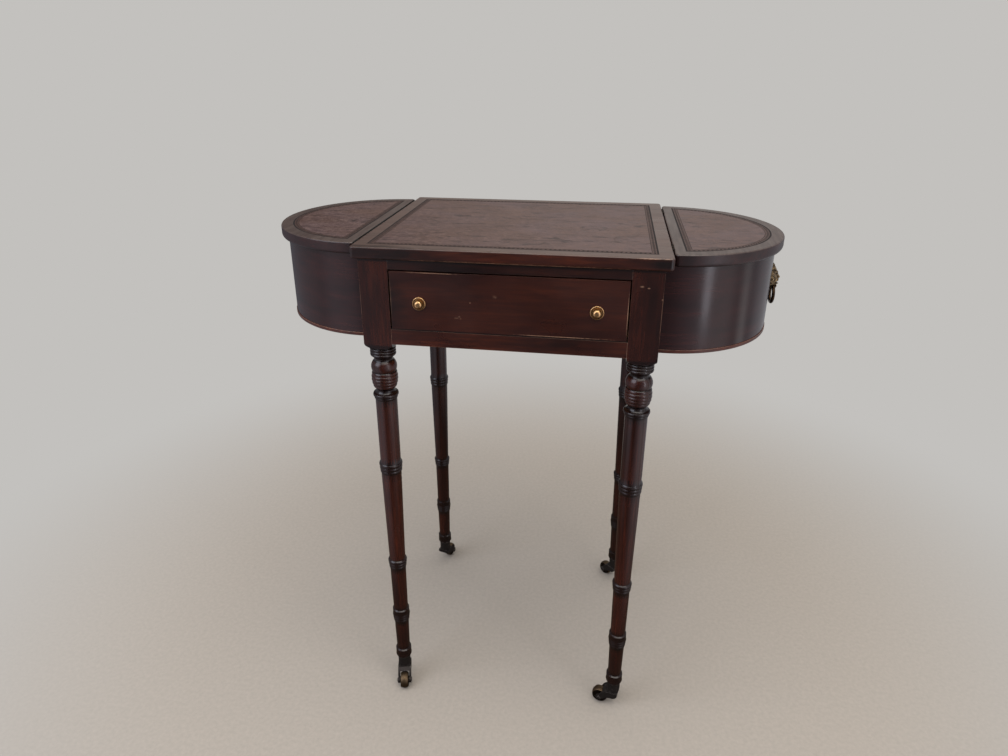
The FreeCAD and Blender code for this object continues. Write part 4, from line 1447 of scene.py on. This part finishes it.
@dataclass
class Fittings:
    """The lids' hinges and the ring pulls."""

    leaf_edge_mm: float = 0.12
    pin_edge_mm: float = 0.15
    bolt_edge_mm: float = 0.3

    def build(self) -> None:
        """Dress the small metalwork at both ends."""
        for side in Side:
            for part, metal, edge in (
                ("_hinge_fixed_leaves", BLACKENED_BRASS, self.leaf_edge_mm),
                ("_hinge_moving_leaves", BLACKENED_BRASS, self.leaf_edge_mm),
                ("_hinge_pins", BLACKENED_BRASS, self.pin_edge_mm),
                ("_mask_bolt", STEEL, self.bolt_edge_mm),
            ):
                softened(side.label + part, metal, edge)
            LionPull(side).build()


@dataclass
class Casters:
    """The four casters under the legs."""

    edge_mm: float = 0.7
    axle_edge_mm: float = 0.25
    tread_wear: float = 0.8
    tread_slope: float = 0.5
    tread_reach: float = 0.8

    def build(self) -> None:
        """Round the castings and give them their metals."""
        for corner in Corner:
            start = corner.value + "_caster_"
            softened(start + "cup", BRONZE, self.edge_mm)
            softened(start + "fork", BRONZE, self.edge_mm)
            softened(start + "axle", BRONZE, self.axle_edge_mm)
            wheel = softened(start + "wheel", WHEEL_BRASS, self.edge_mm)
            self.wear_tread(wheel.data, JOINTS[corner.value + "_roll"])

    def wear_tread(self, mesh: Mesh, joint: dict) -> None:
        """Mark the wheel's tread, which the floor keeps bright.

        Args:
            mesh: The wheel's mesh.
            joint: The joint that the wheel turns on.
        """
        axis = Vector(joint["axis"]).normalized()
        center = Vector(joint["pos_m"])
        worn = mesh.attributes[WORN].data
        for face in mesh.polygons:
            arm = face.center - center
            out = arm - axis * arm.dot(axis)
            faces_out = abs(face.normal.dot(axis)) < self.tread_slope and out.dot(face.normal) > 0
            on_tread = faces_out and out.length > center.z * self.tread_reach
            worn[face.index].value = self.tread_wear if on_tread else 0.0


@dataclass(frozen=True)
class Lamp:
    """A soft rectangular lamp that faces its aim; lengths are in metres, and its power is in watts."""

    name: str
    at: Triple
    aim: Triple
    size: Pair
    power: float
    colour: str

    def hang(self) -> None:
        """Hang the lamp in the scene."""
        light = bpy.data.lights.new(self.name, "AREA")
        light.shape = "RECTANGLE"
        light.size, light.size_y = self.size
        light.energy = self.power
        light.color = linear(self.colour)[:3]
        holder = bpy.data.objects.new(self.name, light)
        holder.location = self.at
        holder.rotation_euler = (Vector(self.aim) - Vector(self.at)).to_track_quat("-Z", "Y").to_euler()
        bpy.context.scene.collection.objects.link(holder)


@dataclass
class Studio:
    """The floor, the soft light and the camera at the photograph's place."""

    camera_at: Triple = (0.11972, -0.98759, 0.95045)
    yaw: float = 0.1621
    pitch: float = 0.3998
    roll: float = 0.0025
    lens_mm: float = 25.05
    sensor_mm: float = 36.0
    shift: Pair = (0.0087, -0.0226)
    floor_size: float = 14.0
    floor_colour: str = "#b3aaa0"
    fleck_mm: Pair = (6.0, 6.0)
    backdrop_colour: str = "#c3c1be"
    daylight: float = 0.5
    fade: Pair = (0.5, 1.3)
    # The floor under the stand as polished faces mirror it: painted shade.
    underfoot_colour: str = "#554b41"
    mirror_fade: Pair = (0.4, 1.0)
    lamps: tuple[Lamp, ...] = (
        Lamp("strip_right", (1.18, -1.08, 0.80), (0.26, -0.12, 0.62), (0.2, 1.3), 2.5, "#f6f5ff"),
        Lamp("sky_left", (-1.9, -1.5, 1.9), (0, 0, 0.5), (1.8, 1.8), 30.0, "#e9f0ff"),
        Lamp("ceiling", (0.3, -0.6, 2.7), (0, 0, 0.5), (2.4, 2.4), 45.0, "#fffaf2"),
    )
    room_tones: tuple[tuple[float, str], ...] = (
        (-180.0, "#b6b3b0"), (-168.0, "#a09c98"), (-157.0, "#34363c"), (-125.0, "#6f7077"),
        (-104.0, "#8c8a92"), (-80.0, "#a4a2aa"), (-70.0, "#a4a2ab"), (-56.0, "#cfcad5"),
        (-46.0, "#cfcad5"), (-32.0, "#c0bcc8"), (-25.0, "#9e9da9"), (-19.0, "#47484e"),
        (0.0, "#3e3b39"), (11.0, "#6f6c73"), (22.0, "#94919a"), (34.0, "#bbb8c2"),
        (44.0, "#dedbe4"), (60.0, "#f1ecf1"), (70.0, "#ece6eb"), (76.0, "#cdc6cc"),
        (81.0, "#aba5ab"), (84.0, "#b0aab0"), (89.0, "#fffcff"), (93.0, "#fffcff"),
        (97.5, "#aca8af"), (103.0, "#9c9aa1"), (112.0, "#b6b3ba"), (134.0, "#b1b1b6"),
        (150.0, "#a6a6aa"), (180.0, "#b6b3b0"),
    )

    def build(self) -> None:
        """Set up the floor, the world, the lamps and the camera."""
        self.lay_floor()
        self.light_world()
        for lamp in self.lamps:
            lamp.hang()
        self.place_camera()

    def room_tone(self, tree: NodeTree, way: NodeSocket) -> Node:
        """Give the tone of the room that polished faces mirror, by the compass.

        Args:
            tree: The tree of the floor or the world.
            way: A place on the floor, or a direction.

        Returns:
            The room's colour that way.
        """
        axes = add(tree, "ShaderNodeSeparateXYZ", {0: way}).outputs
        front = add(tree, "ShaderNodeMath", {0: axes["Y"], 1: -1.0}, operation="MULTIPLY")
        turn = add(tree, "ShaderNodeMath", {0: axes["X"], 1: front}, operation="ARCTAN2")
        share = add(tree, "ShaderNodeMapRange", {0: turn, 1: -math.pi, 2: math.pi})
        ramp = add(tree, "ShaderNodeValToRGB", {0: share})
        stops = ramp.color_ramp.elements
        stops.remove(stops[-1])
        stops[0].position, stops[0].color = 0.0, linear(self.room_tones[0][1])
        for degrees, tone in self.room_tones[1:]:
            stops.new(degrees / 360 + 0.5).color = linear(tone)
        return ramp

    def lay_floor(self) -> None:
        """Lay the plain pale floor, which passes into the backdrop's colour away from the stand; glossy
        rays see it glow instead, as a painted reflection of the room with painted shade under the stand.
        """
        material = bpy.data.materials.new("pale_floor")
        tree = bare_tree(material)
        place = add(tree, "ShaderNodeTexCoord").outputs["Object"]
        rays = add(tree, "ShaderNodeLightPath").outputs
        fleck = figure(tree, place, self.fleck_mm, Grain.ALONG_X, 3.0)
        tone = add(tree, "ShaderNodeMapRange", {0: fleck, 1: 0.3, 2: 0.7, 3: 0.94, 4: 1.05})
        pale = linear(self.floor_colour)[:3]
        colour = add(tree, "ShaderNodeVectorMath", {0: pale, "Scale": tone}, operation="SCALE")
        shader = add(
            tree, "ShaderNodeBsdfPrincipled",
            {"Base Color": colour, "Roughness": 0.85, "Specular IOR Level": 0.2},
        )
        glow = add(tree, "ShaderNodeEmission", {"Color": linear(self.backdrop_colour), "Strength": 1.0})
        reach = add(tree, "ShaderNodeVectorMath", {0: place}, operation="LENGTH")
        far = add(
            tree, "ShaderNodeMapRange", {0: reach, 1: self.fade[0], 2: self.fade[1]},
            interpolation_type="SMOOTHSTEP",
        )
        share = add(tree, "ShaderNodeMath", {0: far, 1: rays["Is Camera Ray"]}, operation="MULTIPLY")
        both = add(tree, "ShaderNodeMixShader", {0: share, 1: shader, 2: glow})
        beyond = add(tree, "ShaderNodeMapRange", {0: reach, 1: self.mirror_fade[0], 2: self.mirror_fade[1]})
        # Glossy rays see the floor glow: painted shade under the stand, passing into a painted reflection
        # of the room's tones.
        tones = add(
            tree, "ShaderNodeMix",
            {0: beyond, 6: linear(self.underfoot_colour), 7: self.room_tone(tree, place)}, data_type="RGBA",
        )
        mirrored = add(tree, "ShaderNodeEmission", {"Color": tones, "Strength": 1.0})
        seen = add(tree, "ShaderNodeMixShader", {0: rays["Is Glossy Ray"], 1: both, 2: mirrored})
        add(tree, "ShaderNodeOutputMaterial", {"Surface": seen})
        shape = bmesh.new()
        bmesh.ops.create_grid(shape, x_segments=1, y_segments=1, size=self.floor_size / 2)
        cast("floor", shape, material)

    def light_world(self) -> None:
        """Give the world a pale backdrop, a room that polished faces mirror, and even daylight."""
        world = bpy.data.worlds.new("studio")
        tree = bare_tree(world)
        rays = add(tree, "ShaderNodeLightPath").outputs
        walls = self.room_tone(tree, add(tree, "ShaderNodeTexCoord").outputs["Generated"])
        light = add(tree, "ShaderNodeBackground", {"Color": (1, 1, 1, 1), "Strength": self.daylight})
        mirrored = add(tree, "ShaderNodeBackground", {"Color": walls, "Strength": 1.0})
        pale = linear(self.backdrop_colour)
        backdrop = add(tree, "ShaderNodeBackground", {"Color": pale, "Strength": 1.0})
        shiny = strongest(tree, rays["Is Glossy Ray"], [rays["Is Transmission Ray"]])
        lit = add(tree, "ShaderNodeMixShader", {0: shiny, 1: light, 2: mirrored})
        seen = add(tree, "ShaderNodeMixShader", {0: rays["Is Camera Ray"], 1: lit, 2: backdrop})
        add(tree, "ShaderNodeOutputWorld", {"Surface": seen})
        bpy.context.scene.world = world

    def place_camera(self) -> None:
        """Place the camera where the photograph was taken from."""
        lens = bpy.data.cameras.new("camera")
        lens.sensor_width = self.sensor_mm
        lens.lens = self.lens_mm
        lens.shift_x, lens.shift_y = self.shift
        camera = bpy.data.objects.new("camera", lens)
        turn = Matrix.Rotation(self.yaw, 4, "Z") @ Matrix.Rotation(math.pi / 2 - self.pitch, 4, "X")
        tilt = Matrix.Rotation(-self.roll, 4, "Z")
        camera.matrix_world = Matrix.Translation(self.camera_at) @ turn @ tilt
        bpy.context.scene.collection.objects.link(camera)
        bpy.context.scene.camera = camera
        bpy.context.scene.view_settings.view_transform = "Standard"


def main() -> None:
    """Build the looks of the stand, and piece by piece."""
    logging.basicConfig(level=logging.INFO, format="%(name)s: %(message)s")
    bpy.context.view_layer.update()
    for assembly in (Studio(), Woodwork(), Drawer(), LeatherPanels(), Fittings(), Casters()):
        LOG.info("building %s", type(assembly).__name__)
        assembly.build()


if __name__ == "__main__":
    main()
